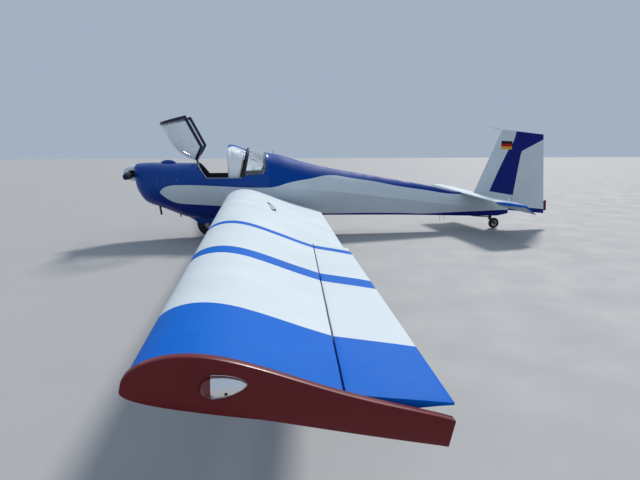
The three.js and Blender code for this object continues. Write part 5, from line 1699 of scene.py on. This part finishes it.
class GLIDER_OT_cabin(bpy.types.Operator):
    """Build the seats, panel, sticks and trim of the cockpit"""

    bl_idname = "glider.cabin"
    bl_label = "Cabin"

    def execute(self, context):
        f = finishes()
        for node, slot, material, bevel in (
            ("firewall", "steel", f.steel, 0.5), ("engine_block", "engine_alloy", f.alloy, 4),
            ("cockpit_floor", "plywood", f.wood, 0.8), ("wheel_tunnel", "plywood", f.wood, 1.5),
            ("seat_base", "plywood", f.wood, 1.5), ("instrument_panel", "dark_frame", f.lining, 1),
            ("control_stick_left", "dark_metal", f.dark_metal, 0.8),
            ("control_stick_right", "dark_metal", f.dark_metal, 0.8),
        ):
            dressed(node, material, bevel=bevel)
        back = [
            ((0, 1690, 1345), (0, -0.2, 1), 7), ((0, 1700, 1405), (0, -0.35, 1), 7),
            ((0, 1722, 1400), (0, 1, 0), 4),
        ]
        cushion = [((0, 1300, 0), (0, 1, 0), 4), ((0, 1480, 0), (0, 1, 0), 4)]
        for side, s in (("left", 1), ("right", -1)):
            upright = [((s * x, 0, 0), (1, 0, 0), 4) for x in (70, 300)]
            self.pad(f"seat_back_{side}", f, back + upright)
            self.pad(f"seat_cushion_{side}", f, cushion)
        self.trim(f)
        self.harness(f)
        self.instruments(f)
        return {"FINISHED"}

    @staticmethod
    def harness(f):
        """Shoulder belts from the rear of the cabin up to the top of each seat back."""
        bm = bmesh.new()
        for s in (1, -1):
            for x in (95, 205):
                path = [(2176, 1240), (2090, 1312), (2000, 1388), (1905, 1452), (1850, 1480), (1800, 1489)]
                rings = []
                for y, z in path:
                    z = min(z, skin_top(x + BELT_HALF, y) - BELT_ROOM)
                    rings.append([Vector((s * x + dx, y, z + dz)) for dx, dz in
                                  ((-BELT_HALF, 0), (BELT_HALF, 0), (BELT_HALF, 2.2), (-BELT_HALF, 2.2))])
                loft(rings, bm=bm)
        simple_piece("harness_belts", bm, "airframe", f.webbing, angle=50)

    @staticmethod
    def instruments(f):
        """Round instruments on the aft face of the panel, each with a bezel, a face and a hand."""
        bezels, faces, hands = bmesh.new(), bmesh.new(), bmesh.new()
        for i, (x, z, r) in enumerate(DIALS):
            centre = (x, PANEL_FACE, z)
            add_lathe(bezels, [(r, 0.1), (r, 5), (r - 4, 7), (r - 6, 5), (r - 6, 0.1)], centre, "Y", 40)
            add_lathe(faces, [(0.1, 0.1), (r - 6.2, 0.1), (r - 6.2, 2), (0.1, 2)], centre, "Y", 32)
            turn = Matrix.Rotation(0.7 + 1.3 * i, 4, "Y")
            hand = Vector((0, 0, r - 12))
            middle = Vector((x, PANEL_FACE + 3, z))
            add_rod(hands, middle - turn @ hand * 0.2, middle + turn @ hand, 1.6, 6, 0.5)
            for k in range(12):
                mark = Matrix.Rotation(k * math.pi / 6, 4, "Y") @ Vector((0, 0, 1))
                add_rod(hands, middle + mark * (r - 14), middle + mark * (r - 8), 0.8, 6)
        simple_piece("instrument_bezels", bezels, "airframe", f.dark_metal, angle=40)
        simple_piece("instrument_faces", faces, "airframe", f.dial, angle=40)
        simple_piece("instrument_hands", hands, "airframe", f.white, angle=40)

    @staticmethod
    def sew(obj, seams, width=5.0):
        """Presses a row of sewn seams, each a plane of point, normal and depth, into a pad."""
        count = len(obj.data.vertices)
        places, normals = np.empty(count * 3), np.empty(count * 3)
        obj.data.vertices.foreach_get("co", places)
        obj.data.vertex_normals.foreach_get("vector", normals)
        places, normals = places.reshape(-1, 3), normals.reshape(-1, 3)
        push = np.zeros(count)
        for point, normal, depth in seams:
            spot = np.array(TO_MODEL @ (Vector(point) * MM))
            across = np.array((TO_MODEL.to_3x3() @ Vector(normal)).normalized())
            away = (places - spot) @ across / MM
            facing = 1 - np.abs(normals @ across)
            push += depth * np.exp(-(away / width) ** 2) * facing
        places -= normals * (push * MM)[:, None]
        obj.data.vertices.foreach_set("co", places.ravel())
        obj.data.update()

    def pad(self, node, f, seams=()):
        """A padded copy of a CAD solid, rounded and swollen between its edges."""
        bm = node_copy(node)
        bmesh.ops.recalc_face_normals(bm, faces=bm.faces)
        obj = linked(node + "_pad", bm)
        remesh = obj.modifiers.new("Even", "REMESH")
        remesh.mode = "VOXEL"
        remesh.voxel_size = PAD_VOXEL * MM
        relax = obj.modifiers.new("Round", "SMOOTH")
        relax.factor = 0.6
        relax.iterations = 22
        flatten(obj)
        self.inflate(obj)
        finer = obj.modifiers.new("Finer", "SUBSURF")
        finer.levels = finer.render_levels = 1
        flatten(obj)
        drop_custom_normals(obj)
        self.sew(obj, seams)
        finish_piece(obj, "airframe", f.upholstery, (node,), 180)

    @staticmethod
    def inflate(obj, frames=20, cap=0.006):
        """Lets cloth pressure swell the pad, and limits how far a point may go."""
        before = np.array([v.co for v in obj.data.vertices])
        cloth = obj.modifiers.new("Cloth", "CLOTH")
        cloth.settings.use_pressure = True
        cloth.settings.uniform_pressure_force = 4
        cloth.settings.effector_weights.gravity = 0
        cloth.settings.quality = 5
        cloth.point_cache.frame_end = frames
        scene = bpy.context.scene
        for number in range(1, frames + 1):
            scene.frame_set(number)
        after = obj.evaluated_get(bpy.context.evaluated_depsgraph_get()).data
        moved = np.array([v.co for v in after.vertices]) - before
        obj.modifiers.clear()
        scene.frame_set(1)
        length = np.linalg.norm(moved, axis=1, keepdims=True)
        moved *= np.minimum(1, cap / np.maximum(length, 1e-9))
        obj.data.vertices.foreach_set("co", (before + moved).astype(np.float32).ravel())
        obj.data.update()

    def trim(self, f):
        bm = bmesh.new()
        for s in (1, -1):
            def at(y, z, out=1.0):
                return Vector((s * (skin_half(y, z) + out), y, z))
            front = [at(SCREEN_FOOT - (z - SILL_Z) / SCREEN_SLOPE - 3, z)
                     for z in steps(1225, SILL_Z - 2, 10)]
            sill = [at(y, SILL_Z - 3) for y in steps(1360, 1890, 14)]
            add_tube(bm, front + sill, 3.2, 8)
        simple_piece("sill_trim", bm, "airframe", f.white, angle=60)


class GLIDER_OT_fittings(bpy.types.Operator):
    """Build aerials, exhaust and other small outside parts"""

    bl_idname = "glider.fittings"
    bl_label = "Fittings"

    def execute(self, context):
        f = finishes()
        for node, slot, material in (
            ("exhaust_pipe", "dark_metal", f.dark_metal), ("drain_pipe", "dark_metal", f.dark_metal),
            ("deck_aerial", "white_metal", f.white), ("belly_aerial_front", "steel", f.steel),
            ("belly_aerial_rear", "steel", f.steel),
        ):
            dressed(node, material, bevel=0.5)
        return {"FINISHED"}


FLOOR_HALF = 60
CAMERA_PLACE = (8.608, -1.982, 1.500)
CAMERA_TURN, CAMERA_DIP = math.radians(9.39), math.radians(10.52)
CAMERA_LENS = 28.17


class GLIDER_OT_stage(bpy.types.Operator):
    """Build the floor, the lights and the camera"""

    bl_idname = "glider.stage"
    bl_label = "Stage"

    def execute(self, context):
        f = finishes()
        bm = bmesh.new()
        for x, y in ((-1, -1), (1, -1), (1, 1), (-1, 1)):
            bm.verts.new((x * FLOOR_HALF, y * FLOOR_HALF, -0.001))
        bm.faces.new(bm.verts)
        floor = linked("studio_floor", bm)
        floor.data.materials.append(f.floor)
        floor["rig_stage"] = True

        context.scene.view_settings.view_transform = "Standard"
        world = bpy.data.worlds.new("studio")
        context.scene.world = world
        world.use_nodes = True
        sky = world.node_tree.nodes["Background"]
        sky.inputs["Color"].default_value = (0.68, 0.82, 1.0, 1)
        sky.inputs["Strength"].default_value = 0.54
        sun = bpy.data.lights.new("key_light", "SUN")
        sun.energy = 2.9
        sun.angle = math.radians(9)
        sun.color = (1.0, 0.96, 0.9)
        lamp = bpy.data.objects.new("key_light", sun)
        towards = Vector((0.62, -0.42, -0.66))
        lamp.rotation_mode = "QUATERNION"
        lamp.rotation_quaternion = towards.to_track_quat("-Z", "Y")
        lamp.location = (-8, 6, 9)
        context.scene.collection.objects.link(lamp)

        camera = bpy.data.cameras.new("photo_camera")
        camera.sensor_width = 36
        camera.lens = CAMERA_LENS
        camera.clip_end = 200
        eye = bpy.data.objects.new("photo_camera", camera)
        flat = math.cos(CAMERA_DIP)
        forward = Vector((-math.cos(CAMERA_TURN) * flat, math.sin(CAMERA_TURN) * flat, -math.sin(CAMERA_DIP)))
        eye.location = CAMERA_PLACE
        eye.rotation_mode = "QUATERNION"
        eye.rotation_quaternion = forward.to_track_quat("-Z", "Y")
        context.scene.collection.objects.link(eye)
        context.scene.camera = eye
        return {"FINISHED"}


OPERATORS = (
    GLIDER_OT_cowling, GLIDER_OT_fuselage, GLIDER_OT_canopy, GLIDER_OT_wings, GLIDER_OT_tail,
    GLIDER_OT_propeller, GLIDER_OT_wheels, GLIDER_OT_cabin, GLIDER_OT_fittings, GLIDER_OT_stage,
)


class GLIDER_PT_panel(bpy.types.Panel):
    """Sidebar panel with the glider's settings and builders"""

    bl_idname = "GLIDER_PT_panel"
    bl_label = "Touring Motor Glider"
    bl_space_type = "VIEW_3D"
    bl_region_type = "UI"
    bl_category = "Glider"

    def draw(self, context):
        for settings in (context.scene.glider_paint, context.scene.glider_sizes):
            box = self.layout.box()
            for key in settings.__annotations__:
                box.prop(settings, key)
        for operator in OPERATORS:
            self.layout.operator(operator.bl_idname)


CLASSES = (GliderPaint, GliderSizes, *OPERATORS, GLIDER_PT_panel)


def register():
    for cls in CLASSES:
        bpy.utils.register_class(cls)
    bpy.types.Scene.glider_paint = PointerProperty(type=GliderPaint)
    bpy.types.Scene.glider_sizes = PointerProperty(type=GliderSizes)


def unregister():
    del bpy.types.Scene.glider_sizes
    del bpy.types.Scene.glider_paint
    for cls in reversed(CLASSES):
        bpy.utils.unregister_class(cls)


def corners(box):
    return [list(corner) for corner in box]


def main():
    register()
    for operator in OPERATORS:
        group, name = operator.bl_idname.split(".")
        getattr(getattr(bpy.ops, group), name)()
    {"cad": corners(CAD_BOX), "visual": corners(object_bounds())}


if __name__ == "__main__":
    main()
